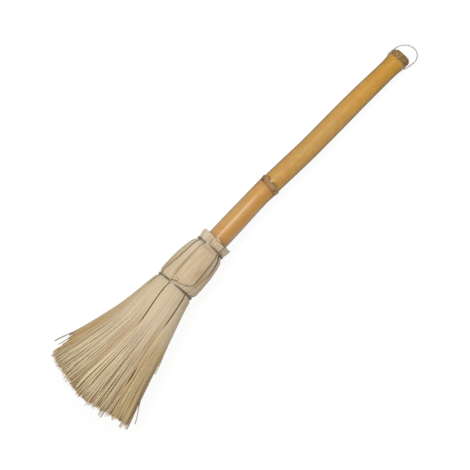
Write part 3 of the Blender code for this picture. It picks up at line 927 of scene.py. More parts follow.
def tube(path: Array, radius: float, sides: int) -> Patch:
    """Round wire along a path: centre + radius * (cos a * side + sin a * other).

    Each end is a dome, whose rings have their reach past the end and their size in DOME, both as
    shares of the radius.

    Args:
        path: Points along the centre line.
        radius: Radius of the wire.
        sides: Points round it.

    Returns:
        A closed patch whose grain holds the distance along, the distance round and 0.
    """
    side, other = (ways[:, None] for ways in station_frames(path))
    angle = once_round(sides)
    ring = np.cos(angle)[:, None] * side + np.sin(angle)[:, None] * other
    reach, share = np.array(DOME).T
    start = path[:1] + unit(path[0] - path[1]) * radius * reach[:, None]
    end = path[-1:] + unit(path[-1] - path[-2]) * radius * reach[::-1, None]
    centres = np.concatenate([start, path, end])
    rings = np.concatenate([ring[:1], ring[:1], ring, ring[-1:], ring[-1:]])
    size = np.concatenate([share, np.ones(len(path)), share[::-1]]) * radius
    grain = triples(distances(centres)[:, None], radius * np.sin(angle), 0.0)
    return Patch.of_grid(centres[:, None] + rings * size[:, None, None], grain)


def curve_through(knots: Array, step: float) -> Array:
    """Smooth curve through knots, with a point every step.

    Each coordinate is a cubic between neighbouring knots whose slopes come from the knots on
    either side, measured along the chords.

    Args:
        knots: Points to pass through.
        step: Spacing of the curve's points.

    Returns:
        Points along the curve.
    """
    knots = np.asarray(knots, float)
    reach = distances(knots)
    slope = np.gradient(knots, reach, axis=0)
    at = np.linspace(0.0, reach[-1], max(2, int(round(reach[-1] / step))) + 1)
    i = np.clip(np.searchsorted(reach, at, side="right") - 1, 0, len(knots) - 2)
    span = (reach[i + 1] - reach[i])[:, None]
    t = (at - reach[i])[:, None] / span
    near = (2 * t ** 3 - 3 * t ** 2 + 1) * knots[i] + (t ** 3 - 2 * t ** 2 + t) * span * slope[i]
    far = (3 * t ** 2 - 2 * t ** 3) * knots[i + 1] + (t ** 3 - t ** 2) * span * slope[i + 1]
    return near + far


@dataclass(frozen=True)
class Cane:
    """The handle: a length of cane with a slanted middle node, a top ridge and a cupped end."""

    lower_end: float = -5.0
    end: float = 413.8
    bore: float = 10.4
    cup_radius: float = 8.0
    cup_depth: float = 6.3
    node: float = 171.0
    node_slant: float = 2.2
    slant_reach: float = 9.0
    ridge: float = 401.3
    ridge_radius: float = 14.2
    hole_radius: float = 1.1
    hole_floor: float = 6.6
    columns: int = 112
    step: float = 2.6
    blur: float = 0.45
    node_wall: float = 3.0
    rim_radius: float = 8.7
    oval: float = 0.10
    egg: float = 0.05
    wave: float = 0.05
    scallop: float = 0.28
    crust: float = 0.22
    cutter_reach: float = 20.0
    cutter_sides: int = 20
    outline: Outline = (
        (-5.0, 14.1), (20.0, 14.2), (66.0, 14.4), (84.0, 14.7), (105.0, 14.6), (125.0, 14.3),
        (142.0, 14.0), (158.0, 13.7), (169.5, 13.95), (171.0, 14.35), (172.2, 13.65),
        (184.0, 13.6), (205.0, 13.7), (225.0, 13.6), (245.0, 13.5), (262.0, 13.45),
        (290.0, 13.45), (318.0, 13.3), (332.0, 13.15), (345.0, 12.95), (360.0, 12.75),
        (380.0, 12.4), (389.0, 12.5), (395.0, 12.85), (398.6, 13.5), (401.3, 14.2), (403.6, 13.5),
        (406.0, 11.6), (410.5, 11.5), (412.3, 10.8), (413.3, 10.1), (413.8, 9.4))

    def slanted(self, d: Array, y: Array) -> Array:
        """Slant the middle node: its +Y side lies nearer the loop, fading away from the node."""
        fade = bell((d - self.node) / self.slant_reach)
        return d + self.node_slant * fade * y / self.ridge_radius

    def relief(self, d: Array, angle: Array, radius: Array) -> Array:
        """Unevenness of the skin: a slight oval, waves, a scalloped ridge and a rough crust.

        Args:
            d: Place along the axis.
            angle: Angle in radians.
            radius: Radius without it.

        Returns:
            The extra radius.
        """
        outside = ease((radius - 9.4) / 1.6) * ease((d - self.lower_end) / 2.0)
        oval = self.oval * np.cos(2.0 * angle + 0.4) + self.egg * np.cos(3.0 * angle + d / 90.0)
        waves = self.wave * Ripple(3, 60.0, 3.0).at(d, 5.0 * np.sin(angle)) * np.cos(angle)
        scallop = self.scallop * np.sin(11.0 * angle + 0.8) * bell((d - self.ridge) / 1.3)
        above = ease((d - self.ridge - 2.0) / 1.0) * (d < self.end - 0.05)
        crust = self.crust * np.sin(17.0 * angle + 1.4 * d) * np.sin(5.0 * angle - 0.8 * d)
        resting = ease((-np.cos(angle) - 0.7) / 0.2) * bell((d - self.ridge) / 9.0)
        return outside * (oval + waves + scallop + above * crust) * (1.0 - resting)

    def build(self, finish: Material) -> None:
        """Make the cane, with the two holes that the loop's ends sit in.

        It is turned round the broom's axis: radius r(d) plus the relief, all the way round. Its
        grain is the station, y and z.

        Args:
            finish: Material of the skin.
        """
        skin = crowded(self.lower_end, self.end, self.step,
                       ((self.node, 3.0, 9.0), (self.ridge, 3.5, 9.0), (self.end, 6.0, 4.0)))
        wall = self.node - self.node_wall
        cup_floor = self.end - self.cup_depth
        before = [(wall, 0.0), (wall, self.bore), (self.lower_end, self.bore)]
        after = [(self.end, self.rim_radius), (self.end, self.cup_radius),
                 (cup_floor + 0.8, self.cup_radius - 0.3), (cup_floor, self.cup_radius - 1.4),
                 (cup_floor, 0.0)]
        outside = np.stack([skin, smoothed(skin, self.outline, self.blur)], -1)
        profile = np.concatenate([before, outside, after])
        angle = once_round(self.columns)[None, :]
        d, radius = (np.repeat(each[:, None], self.columns, axis=1) for each in profile.T)
        radius = radius + np.where(radius > 0.0, self.relief(d, angle, radius), 0.0)
        y, z = radius * np.sin(angle), radius * np.cos(angle)
        place = self.slanted(d, y)
        points = triples(place, y + AXIS.sideways(d), z)
        patch = Patch.of_grid(points, triples(place, y, z), flip=True)
        piece = make_piece("cane_skin", patch, finish, Body.BROOM, ["cane_handle"], 50.0)
        self.drill(piece)

    def drill(self, piece: bpy.types.Object) -> None:
        """Bore a blind hole into each side for the loop's ends.

        Args:
            piece: The finished cane.
        """
        size = np.array([0.0, self.hole_radius, self.hole_radius, 0.0])[:, None]
        ends = np.repeat([self.hole_floor, self.cutter_reach], 2)[:, None]
        angle = once_round(self.cutter_sides)
        for side in (-1.0, 1.0):
            reach = ends * side
            local = triples(size * np.cos(angle), reach, size * np.sin(angle))
            hole = Patch.of_grid(HANGER.placed(local, 0.0), local, flip=side < 0.0)
            cutter = linked("hole", merged_mesh("hole", hole, cutter=True))
            step = piece.modifiers.new("hole", "BOOLEAN")
            step.operation = "DIFFERENCE"
            step.object = cutter
            bpy.context.view_layer.update()
            state = bpy.context.evaluated_depsgraph_get()
            done = bpy.data.meshes.new_from_object(piece.evaluated_get(state), depsgraph=state,
                                                   preserve_all_data_layers=True)
            piece.modifiers.clear()
            piece.data = done
            bpy.data.objects.remove(cutter)
        piece.data.name = piece.name


@dataclass(frozen=True)
class NodeSheath:
    """Dry remains of leaf sheath round one node of the cane."""

    name: str
    node: str
    base: float
    inner: float
    thick: float
    flare: float
    edge: Callable[[Array], Array]
    cane: Cane
    mean_radius: float = 13.0
    columns: int = 300
    rows: int = 9
    fibres: int = 0
    fibre_start: Pair = (404.4, 406.8)
    fibre_length: Pair = (3.0, 7.6)
    fibre_end: float = 412.6
    fibre_rows: int = 6
    fibre_half_thick: float = 0.13
    fibre_number: float = 164.0

    def build(self, finish: Material) -> None:
        """Make the sheath and its loose fibres.

        Args:
            finish: Material of the sheath.
        """
        patches = [self.band()]
        if self.fibres:
            patches.append(self.loose_fibres())
        make_piece(self.name, Patch.joined(patches), finish, Body.BROOM,
                   [self.node], 60.0)

    def band(self) -> Patch:
        """The ring itself: radius is inner plus a height that grows to a rolled rim.

        Returns:
            A closed patch whose grain is the station, the distance round and the share of height.
        """
        angle = np.linspace(-math.pi, math.pi, self.columns, endpoint=False)
        share = np.linspace(0.0, 1.0, self.rows) ** 0.8
        top = self.edge(np.degrees(angle))
        d = self.base + share[:, None] * (top - self.base)[None, :]
        rough = 0.16 * Ripple(21, 5.0, 4.0, 14).at(d, self.mean_radius * angle[None, :])
        wrap = ease((math.pi - np.abs(angle)) / 0.12)
        height = self.thick + self.flare * share[:, None] + rough * wrap[None, :]
        height += 0.22 * bell((share[:, None] - 0.93) / 0.09)
        outer = np.concatenate([d, d[-1:] + 0.15])
        lift = np.concatenate([height, height[-1:] * 0.55])
        low = np.concatenate([d[-1:] + 0.1, d[::-1]])
        under = np.concatenate([height[-1:] * 0.25, np.zeros_like(d)])
        station = np.concatenate([outer, low])
        radius = self.inner + np.concatenate([lift, under])
        place = self.cane.slanted(station, radius * np.sin(angle)[None, :])
        points = AXIS.around(place, radius, angle[None, :])
        shares = np.concatenate([share, [1.0, 1.0], share[::-1]])[:, None]
        grain = triples(station, self.mean_radius * angle[None, :], shares)
        return Patch.of_grid(np.concatenate([points, points[:1]]),
                             np.concatenate([grain, grain[:1]]), flip=True)

    def loose_fibres(self) -> Patch:
        """Short stiff fibres that lie round the end, each a tapered four-sided blade.

        Returns:
            A patch whose grain holds a number for each fibre.
        """
        chance = np.random.default_rng(5)
        size = (self.fibres, 1)
        t = np.linspace(0.0, 1.0, self.fibre_rows)[None, :]
        start = chance.uniform(*self.fibre_start, size)
        length = chance.uniform(*self.fibre_length, size)
        angle = chance.uniform(0.0, TAU, size) + chance.normal(0.0, 0.10, size) * t
        d = np.minimum(start + length * t, self.fibre_end)
        away = chance.uniform(0.55, 1.15, size) + chance.uniform(-0.1, 0.35, size) * t ** 2
        centre = AXIS.around(d, self.inner + away - 1.5 * ease((d - 409.5) / 3.5), angle)
        half = chance.uniform(0.14, 0.30, size) * (1.0 - 0.6 * t)
        side = triples(0.0, np.cos(angle), -np.sin(angle)) * half[..., None]
        out = triples(0.0, np.sin(angle), np.cos(angle)) * self.fibre_half_thick
        corners = np.stack([centre - side + out, centre + side + out,
                            centre + side - out, centre - side - out], 2)
        number = self.fibre_number + 100.0 * np.arange(self.fibres)[:, None, None]
        grain = triples(np.repeat(d[..., None], 4, axis=2), number, 2.0)
        return strip_patch(corners, grain, np.zeros(self.fibres + 1))


def strip_patch(corners: Array, grain: Array, split_rows: Array) -> Patch:
    """Four-sided strips side by side, with closed ends, and with walls where they have split.

    Args:
        corners: Corners of every strip and row: outer left, outer right, inner right, inner left.
        grain: Grain of each corner.
        split_rows: Row where the walls at each edge start, from the first strip's left edge on.

    Returns:
        One patch of all the strips.
    """
    count, rows = corners.shape[:2]
    index = np.arange(count * rows * 4).reshape(count, rows, 4)
    row = np.arange(rows - 1)
    parts = []
    for a, b, start in ((0, 1, 0), (2, 3, 0), (1, 2, split_rows[1:, None]),
                        (3, 0, split_rows[:-1, None])):
        side = np.stack([index[:, :-1, a], index[:, :-1, b], index[:, 1:, b], index[:, 1:, a]], -1)
        parts.append(side[np.broadcast_to(row >= start, side.shape[:2])])
    faces = np.concatenate([*parts, index[:, 0, [3, 2, 1, 0]], index[:, -1, [0, 1, 2, 3]]])
    return Patch(corners.reshape(-1, 3), faces, grain.reshape(-1, 3))


@dataclass(frozen=True)
class Seam:
    """A seam between leaves: its angles in degrees at the neck, at the waist and in the fan.

    It bows by an angle between neck and waist and has a dark line of that width on each side. It
    closes by a share above the waist, a little at the collar, and altogether at its end in the fan,
    and it may open again by a share further on.
    """

    neck: float
    waist: float
    fan: float
    bow: float = 0.0
    line: float = 1.1
    closed: float = 0.0
    end: float = -80.0
    again: float = 0.0
    collar: Pair = (66.5, 3.0)
    collar_share: float = 0.65
    closed_round: Pair = (18.0, 20.0)
    run: float = 25.0
    again_round: Pair = (-123.0, 13.0)

    def shown(self, d: Array) -> Array:
        """How much of the seam is seen.

        Args:
            d: Place along the axis.

        Returns:
            The share at each place.
        """
        (collar, collar_run), (middle, reach) = self.collar, self.closed_round
        head = 1.0 - self.closed * bell((d - middle) / reach)
        head = head * ease((d - self.end) / self.run)
        head = head * (1.0 - self.collar_share * ease((d - collar) / collar_run))
        return np.maximum(head, self.again * bell((d - self.again_round[0]) / self.again_round[1]))


@dataclass(frozen=True)
class Ring:
    """One ring of leaves: its seams, how many strands a leaf splits into, and its layers."""

    name: str
    seams: tuple[Seam, ...]
    strands: int
    start: float
    shares: tuple[float, ...]


@dataclass(frozen=True)
class Parting:
    """A gap that opens between strands for part of their length."""

    leaf: int
    share: float
    start: float
    end: float
    width: float


@dataclass(frozen=True)
class Stray:
    """Neighbouring strands that stand out of the fan's outline together."""

    leaf: int
    first: int
    strands: int
    start: float
    run: float
    reach: float
    tip: float
    worn: float = 0.0


def even_seams(count: int, first: float) -> tuple[Seam, ...]:
    """Seams of an inner ring: evenly spaced, and straight from end to end."""
    angles = [first - 360.0 * i / count for i in range(count + 1)]
    return tuple(Seam(angle, angle, angle) for angle in angles)


@dataclass(frozen=True)
class Sway:
    """How far strands leave their place: in slow waves, by clump and by strand."""

    wave: float
    clump: float
    strand: float


@dataclass
class Lay:
    """One layer of one leaf.

    It has its ring, its leaf if outer, its seams, its drop below the outline, its share of the
    outline at the tips, a mark for its finish, its random numbers, the clump of each strand, the
    shares of the strands' edges across the leaf, and the stations of each strand's rows.
    """

    ring: int
    leaf: int
    low: Seam
    high: Seam
    drop: float
    share: float
    mark: float
    chance: np.random.Generator
    clump: Array
    edges: Array
    d: Array

    @property
    def breaks(self) -> Array:
        """Whether each edge lies between two clumps."""
        return np.concatenate([[True], self.clump[1:] != self.clump[:-1], [True]])


@dataclass(frozen=True)
class LeafHead:
    """The head: four rings of palm leaf, each leaf in two layers that split into strands."""

    # Form of the head and the fan
    neck: float = 66.0
    tip_reach: float = 187.5
    waist_slant: float = 1.7
    slant_reach: float = 50.0
    squareness: float = 0.4
    fullness: float = 0.5
    blur: float = 1.1
    fan_start: float = 6.0
    fan_width: Triple = (26.7, 0.2, 0.00042)
    fan_depth: Triple = (26.1, 0.1113, 0.0)
    depth_drop: float = 1.12
    fan_turn: float = 75.0
    # Layers, their gaps and their rows of points
    ring_gap: float = 0.45
    ring_thick: float = 2.1
    layer_thick: float = 0.85
    layer_step: float = 1.0
    strand_thick: float = 0.5
    seam_gap: float = 0.7
    overlap: float = 0.35
    floor_gap: float = 0.02
    common_end: float = -100.0
    row_step: float = 6.0
    tail_rows: int = 9
    # Where the strands end
    corner_cut_low_y: Pair = (14.5, 1.5)
    corner_cut_high_y: Pair = (19.0, 1.0)
    edge_cut: Triple = (28.0, 0.80, 0.12)
    strand_ragged: float = 3.4
    clump_ragged: float = 2.6
    edge_ragged: Pair = (-2.0, 9.0)
    inner_short: float = 3.0
    under_short: float = 2.0
    corner_short: float = 2.6
    long_above: float = 0.74
    long_reach: float = 2.0
    long_corner: float = 5.5
    stray_cut: float = 0.7
    # Where the strands part
    clump_split: Pair = (-70.0, -28.0)
    strand_split: Pair = (-118.0, -74.0)
    edge_split: float = -56.0
    split_run: float = 45.0
    parting_strands: float = 4.5
    parting_fade: float = 2.6
    parting_lead: float = 26.0
    stray_lead: float = 30.0
    # How the strands move and narrow
    stray_step: float = 1.05
    sideways: Sway = Sway(0.34, 0.2, 0.16)
    tip_sideways: Sway = Sway(0.0, 0.4, 0.45)
    lift: Sway = Sway(0.22, 0.0, 0.25)
    turn: Sway = Sway(0.16, 0.2, 0.26)
    clump_sunk: Pair = (-0.75, 0.25)
    inner_lift: float = 1.7
    clump_gap: Pair = (0.1, 0.28)
    strand_gap: Pair = (0.03, 0.13)
    edge_gap: float = 0.08
    most_trim: float = 0.84
    outline: Outline = (
        (-6.0, 27.89), (-2.3, 25.6), (2.3, 25.6), (5.2, 28.0), (16.0, 28.3), (36.0, 27.6),
        (51.0, 25.5), (60.2, 23.2), (63.4, 20.1), (68.6, 20.1), (72.6, 21.6), (78.8, 21.9))
    rings: tuple[Ring, ...] = (
        Ring("outer", (Seam(58.0, 67.0, 50.0, -12.0, 2.6, 0.0, -32.0),
                       Seam(29.0, 18.0, 7.0, 0.0, 0.8),
                       Seam(-50.0, -41.0, -31.0, -12.5, 1.6, 0.95, -62.0, 0.9),
                       Seam(-100.0, -95.0, -90.0),
                       Seam(-146.0, -144.0, -142.0),
                       Seam(-196.0, -196.0, -194.0),
                       Seam(-243.0, -243.0, -246.0),
                       Seam(-302.0, -293.0, -310.0, -12.0, 2.6, 0.0, -32.0)),
             44, 78.8, (1.0, 0.92)),
        Ring("second", even_seams(6, 49.0), 38, 78.8, (0.81, 0.71)),
        Ring("third", even_seams(5, 72.0), 32, 51.5, (0.60, 0.48)),
        Ring("core", even_seams(4, 50.0), 26, 36.5, (0.36, 0.22)),
    )
    partings: tuple[Parting, ...] = (
        Parting(3, 1.0, -104.0, -158.0, 2.4),
        Parting(2, 0.0, -104.0, -158.0, 1.6),
        Parting(3, 0.82, -66.0, -100.0, 1.1),
        Parting(2, 0.40, -125.0, -190.0, 1.7),
        Parting(1, 0.45, -140.0, -192.0, 1.0),
        Parting(7, 1.0, -96.0, -172.0, 1.5),
    )
    strays: tuple[Stray, ...] = (
        Stray(7, 26, 2, -116.0, 40.0, 1.4, -155.7, 1.0),
        Stray(3, 0, 1, -132.0, 32.0, 7.2, -163.5, 1.0),
        Stray(3, 5, 1, -60.0, 34.0, 2.4, -92.0),
        Stray(3, 9, 1, -48.0, 34.0, 1.8, -84.0),
    )

    def half_size(self, d: Array, fan: Triple, drop: float) -> Array:
        """Half size: the outline, and below the waist start + slope r + curve r squared.

        Args:
            d: Place along the axis.
            fan: Start, slope and curve of the fan.
            drop: How far the fan's start lies inside the outline.

        Returns:
            The half size at each place.
        """
        start, slope, curve = fan
        reach = np.maximum(-d, self.fan_start)
        head = smoothed(d, self.outline, self.blur) - ease(-d / self.fan_start) * drop
        return np.where(d < -self.fan_start, start + slope * reach + curve * reach ** 2, head)

    def half_width(self, d: Array) -> Array:
        """Half size from side to side."""
        return self.half_size(d, self.fan_width, 0.0)

    def half_depth(self, d: Array) -> Array:
        """Half size from front to back."""
        return self.half_size(d, self.fan_depth, self.depth_drop)

    def shear(self, d: Array, sine: Array) -> Array:
        """Shift along the axis that slants the waist, fading away from it."""
        return -self.waist_slant * sine * np.maximum(0.0, 1.0 - np.abs(d) / self.slant_reach)

    def spread(self, d: Array) -> Array:
        """How far the fan has opened, from 0 at the waist to 1 at the tips."""
        return (np.maximum(-d, 0.0) / self.tip_reach) ** 0.7

    def point(self, d: Array, angle: Array, drop: Array | float, share: float,
              depth: Array | float = 0.0) -> Array:
        """Point of a layer of leaf.

        At the waist the section is a circle drop below the outline, and in the fan it is a
        rounded oblong of a share of the outline, flattened below where the fan lies on its tips.

        Args:
            d: Place along the axis.
            angle: Angle in degrees.
            drop: Depth of the layer below the outline at the waist.
            share: Size of the layer against the outline at the tips.
            depth: Depth below the layer's own outer face.

        Returns:
            Points about the bent axis.
        """
        spread = self.spread(d)
        wide, deep = ((size - drop) * (1.0 - spread) + size * share * spread - depth
                      for size in (self.half_width(d), self.half_depth(d)))
        exponent = 2.0 / (2.0 + self.squareness * spread)
        turn = np.radians(angle)
        sine, cosine = np.sin(turn), np.cos(turn)
        rise = np.abs(cosine) ** exponent
        flat = (1.0 + self.fullness) * rise / (1.0 + self.fullness * rise ** 3)
        rise = np.where(cosine < 0.0, -(rise * (1.0 - spread) + flat * spread), rise)
        y = wide * np.abs(sine) ** exponent * np.sign(sine)
        return triples(d + self.shear(d, sine), y + AXIS.sideways(d), deep * rise)

    def seam_angle(self, seam: Seam, d: Array) -> Array:
        """Angle of a seam, easing from the neck past the waist into the fan.

        Args:
            seam: The seam.
            d: Place along the axis.

        Returns:
            The angle in degrees at each place.
        """
        up = np.clip(d / self.neck, 0.0, 1.0)
        above = seam.waist + (seam.neck - seam.waist) * up + 4.0 * seam.bow * up * (1.0 - up)
        below = seam.waist + (seam.fan - seam.waist) * ease(-d / self.fan_turn)
        return np.where(d > 0.0, above, below)

    def rows(self, start: float) -> Array:
        """Stations that all the strands share, from the collar down."""
        return crowded(start, self.common_end, self.row_step,
                       ((self.neck, 4.0, 3.5), (0.0, 5.0, 3.5), (start, 1.5, 2.0)))

    def layer(self, ring_number: int, leaf_number: int, layer_number: int) -> Patch:
        """One layer of one leaf, from the collar to the tips of its strands.

        The layer is a grid of strips side by side. Neighbours share their edge down to the place
        where the split between them starts; below it each strip narrows, wanders, lifts and
        twists by amounts that grow from nothing at the split.

        Args:
            ring_number: 0 for the outer ring.
            leaf_number: 1 for the first leaf of the ring.
            layer_number: 0 for the outer layer of the leaf.

        Returns:
            A closed patch whose grain is the station, the strip number and a layer number.
        """
        ring = self.rings[ring_number]
        count = ring.strands
        chance = np.random.default_rng(1000 * ring_number + 20 * leaf_number + layer_number)
        high, low = ring.seams[leaf_number - 1], ring.seams[leaf_number]
        drop = ring_number * (self.ring_thick + self.ring_gap) + layer_number * self.layer_step
        blade = np.repeat(self.rows(ring.start)[None, :], count, axis=0)
        lay = Lay(ring_number, leaf_number if ring_number == 0 else 0, low, high, drop,
                  ring.shares[layer_number], 2.0 * (10 * ring_number + leaf_number) + layer_number,
                  chance, clump=np.repeat(np.arange(count), chance.integers(2, 6, count))[:count],
                  edges=np.linspace(0.0, 1.0, count + 1), d=blade)
        lay.edges[1:-1] += chance.uniform(-0.22, 0.22, count - 1) / count
        tail = np.linspace(0.0, 1.0, self.tail_rows + 1)[1:]
        tips = self.tip_stations(lay)[:, None]
        lay.d = np.hstack([blade, self.common_end + (tips - self.common_end) * tail])
        collar = np.zeros((count + 1, lay.d.shape[1]))
        if ring_number < 2:
            jag = chance.uniform(-0.35, 0.1, count + 1) + 0.8 * np.sin(lay.edges * 6.0 + lay.mark)
            jag += 0.35 * np.sign(np.sin(lay.edges * 21.0 + 2.0 * lay.mark)) - 0.5 * layer_number
            collar += jag[:, None] * np.clip((lay.d[:1] - self.neck - 3.0) / 10.0, 0.0, 1.0)
        return self.strips(lay, collar)

    def tip_stations(self, lay: Lay) -> Array:
        """Where each strand ends: furthest in the middle of the fan, ragged by clump and strand.

        Args:
            lay: The layer.

        Returns:
            The station of each tip.
        """
        middle = 0.5 * (lay.edges[1:] + lay.edges[:-1])
        angle = lay.low.fan + (lay.high.fan - lay.low.fan) * middle
        across = np.sin(np.radians(angle)) * lay.share
        high, low = (most * np.abs(across) ** power
                     for most, power in (self.corner_cut_high_y, self.corner_cut_low_y))
        cut = np.where(across > 0.0, high, low)
        count, chance = len(middle), lay.chance
        most, start, run = self.edge_cut
        edge = ease((across - start) / run)
        corner = ease(-across / 0.7)
        outermost = lay.ring == 0 and lay.drop == 0.0
        behind = 0.0 if outermost else (self.inner_short if lay.ring else self.under_short)
        ragged = chance.uniform(-self.clump_ragged, self.clump_ragged, count)[lay.clump]
        ragged += chance.uniform(0.0, self.strand_ragged, count)
        ragged += edge * chance.uniform(*self.edge_ragged, count)
        ragged += behind + self.corner_short * corner
        long = chance.uniform(0.0, 1.0, count)[lay.clump] > self.long_above
        long = long * outermost * (1.0 - edge) * (self.long_reach + self.long_corner * corner)
        long = long * chance.uniform(0.6, 1.0, count)[lay.clump]
        tips = cut + most * edge + ragged - long - self.tip_reach
        for stray in self.strays:
            if stray.leaf == lay.leaf:
                chosen = slice(stray.first, stray.first + stray.strands)
                tips[chosen] = stray.tip + self.stray_cut * np.arange(stray.strands)
        return tips

    def strips(self, lay: Lay, collar: Array) -> Patch:
        """Points and faces of the strips of one layer.

        Args:
            lay: The layer.
            collar: Change of station of each edge near the collar's end.

        Returns:
            The closed patch.
        """
        d, count = lay.d, len(lay.d)
        low_angle = self.seam_angle(lay.low, d) + self.inset(lay.low, d)
        high_angle = self.seam_angle(lay.high, d) - self.inset(lay.high, d)
        fan = ease((-d - 20.0) / 120.0)
        thick = self.layer_thick + (self.strand_thick - self.layer_thick) * fan

        def face(side: int, depth: Array | float) -> Array:
            """Points of the strips' edges.

            Args:
                side: 0 for their first edges and 1 for their second.
                depth: Depth below the layer's outer face.

            Returns:
                The points.
            """
            chosen = slice(side, side + count)
            place = lay.edges[chosen, None]
            angle = low_angle + (high_angle - low_angle) * place
            overlap = self.overlap * (2.0 * place - 1.0) * ease(d / 12.0 + 1.5)
            return self.point(d + collar[chosen], angle, lay.drop - overlap, lay.share, depth)

        corners = np.stack([face(0, 0.0), face(1, 0.0), face(1, thick), face(0, thick)], 2)
        opening, split_rows = self.splits(lay)
        corners += self.motion(lay, corners, opening)
        lowest = AXIS.to_frame(corners)[..., 2].min(axis=2) / MM
        corners[..., 2] += np.maximum(0.0, self.floor_gap - lowest)[..., None]
        edge = self.near_seams(lay, np.radians(high_angle - low_angle) * self.half_width(d))
        number = np.arange(count)[:, None] + WORN_NUMBER * self.straying(lay)[2]
        across = number[..., None] + np.array([0.0, 1.0, 1.0, 0.0])
        grain = triples(d[..., None], across, lay.mark + 0.02 + 0.9 * edge)
        return strip_patch(corners, grain, split_rows)

    def inset(self, seam: Seam, d: Array) -> Array:
        """Angle from a seam to a leaf's edge; the gap is narrow but near the waist.

        Args:
            seam: The seam.
            d: Place along the axis.

        Returns:
            The angle in degrees at each place.
        """
        fan = 1.0 - 0.85 * ease((-d - 55.0) / 45.0)
        head = 1.0 - 0.6 * ease((d - 3.0) / 6.0) * ease((62.0 - d) / 6.0)
        return np.degrees(0.5 * self.seam_gap * fan * head * seam.shown(d) / self.half_width(d))

    def near_seams(self, lay: Lay, width: Array) -> Array:
        """How near the strips' corners are to a seam: 1 at the seam, 0 past its dark line.

        Args:
            lay: The layer.
            width: Width of the leaf.

        Returns:
            The value of every corner.
        """
        sides = []
        for share in (lay.edges[:-1, None], lay.edges[1:, None]):
            low = lay.low.shown(lay.d) * (1.0 - share * width / lay.low.line)
            high = lay.high.shown(lay.d) * (1.0 - (1.0 - share) * width / lay.high.line)
            sides.append(np.clip(np.maximum(low, high), 0.0, 1.0))
        left, right = sides
        return np.stack([left, right, right, left], -1)

    def splits(self, lay: Lay) -> tuple[Array, Array]:
        """Where neighbouring strands part: early between clumps, late inside them.

        Args:
            lay: The layer.

        Returns:
            How open each edge is at each row, from 0 to 1, and the row where each split starts.
        """
        d, count = lay.d, len(lay.d)
        start = np.where(lay.breaks, lay.chance.uniform(*self.clump_split, count + 1),
                         lay.chance.uniform(*self.strand_split, count + 1))
        for parting in self.partings:
            if parting.leaf == lay.leaf:
                near = np.abs(np.arange(count + 1) - parting.share * count) < self.parting_strands
                start = np.where(near, np.maximum(start, parting.start + self.parting_lead), start)
        for stray in self.strays:
            if stray.leaf == lay.leaf:
                start[[stray.first, stray.first + stray.strands]] = stray.start + self.stray_lead
        start[[0, -1]] = self.edge_split
        row = np.argmin(np.abs(d[:1] - start[:, None]), axis=1)
        begin = d[0][row]
        row[[0, -1]] = 0
        station = np.concatenate([d[:1], 0.5 * (d[1:] + d[:-1]), d[-1:]])
        return ease((begin[:, None] - station) / self.split_run), row

    def motion(self, lay: Lay, corners: Array, opening: Array) -> Array:
        """How far each corner of a strip moves from its place in the whole leaf.

        Clumps lift, wander and turn together, and the strands in them a little on their own.

        Args:
            lay: The layer.
            corners: Corners of the strips in the whole leaf.
            opening: How open each edge is.

        Returns:
            The change of every corner.
        """
        d, chance, count = lay.d, lay.chance, len(lay.d)
        left, right = corners[:, :, 0], corners[:, :, 1]
        width = right - left
        size = np.linalg.norm(width, axis=-1, keepdims=True)
        across = width / size
        outward = 0.5 * (left + right - corners[:, :, 2] - corners[:, :, 3])
        depth = np.linalg.norm(outward, axis=-1, keepdims=True)
        outward = outward / depth
        free = np.minimum(opening[:-1], opening[1:])[..., None]
        joined = np.maximum(opening[:-1], opening[1:])[..., None]
        t = ease((-d - 40.0) / 150.0)[..., None]
        to_tip = d - d[:, -1:]

        def waves() -> Array:
            """Slow waves along the strands: one of the clump and a smaller one of the strand."""
            phase = chance.uniform(0.0, TAU, (2, count, 1, 1))
            pace = chance.uniform(0.6, 1.5, (2, count, 1, 1)) / 22.0
            clump = np.sin(phase[0][lay.clump] + pace[0][lay.clump] * d[..., None])
            return clump + 0.5 * np.sin(phase[1] + pace[1] * d[..., None])

        def offsets(sway: Sway) -> Array:
            """A steady random offset of each clump, and one of each strand."""
            return (chance.normal(0.0, sway.clump, (count, 1, 1))[lay.clump]
                    + chance.normal(0.0, sway.strand, (count, 1, 1)))

        sideways = self.sideways.wave * waves() + offsets(self.sideways)
        sideways = (0.5 * joined + 0.5 * free) * (0.35 + 1.3 * t) * sideways
        sideways = sideways + ease(1.0 - to_tip / 28.0)[..., None] * offsets(self.tip_sideways)
        sunk = chance.uniform(*self.clump_sunk, (count, 1, 1))[lay.clump]
        lift = free * t * (sunk + offsets(self.lift) + self.lift.wave * waves())
        lift = lift * (self.inner_lift if lay.ring else 1.0)
        turn = free * t * (offsets(self.turn) + self.turn.wave * waves())
        shift = self.gaps(lay)[..., None] + sideways
        push, twist, _ = self.straying(lay)
        turn = turn + twist[..., None]
        moved = across * shift + outward * (lift + push[..., None])

        narrow = np.where(lay.breaks, chance.uniform(*self.clump_gap, count + 1),
                          chance.uniform(*self.strand_gap, count + 1))
        narrow[[0, -1]] = self.edge_gap
        taper = 0.08 * ease((-d - 150.0) / 40.0) + 0.24 * ease(1.0 - to_tip / 13.0)
        trims = np.stack([(narrow[:-1, None] + taper) * opening[:-1],
                          (narrow[1:, None] + taper) * opening[1:]])
        share = np.minimum(1.0, self.most_trim / np.maximum(trims.sum(axis=0), 0.01))
        trims = (trims * share)[..., None]
        trims = trims * (1.0 - 0.7 * ease(np.abs(twist))[..., None])
        half, thin = 0.5 * size, 0.5 * depth
        cosine, sine = np.cos(turn), np.sin(turn)
        change = np.zeros_like(corners)
        for corner, (side, level) in enumerate(((-1, 1), (1, 1), (1, -1), (-1, -1))):
            reach = half - size * trims[max(side, 0)]
            spin = side * (reach * (cosine * across + sine * outward) - half * across)
            spin = spin + level * thin * ((cosine - 1.0) * outward - sine * across)
            change[:, :, corner] = moved + spin
        return change

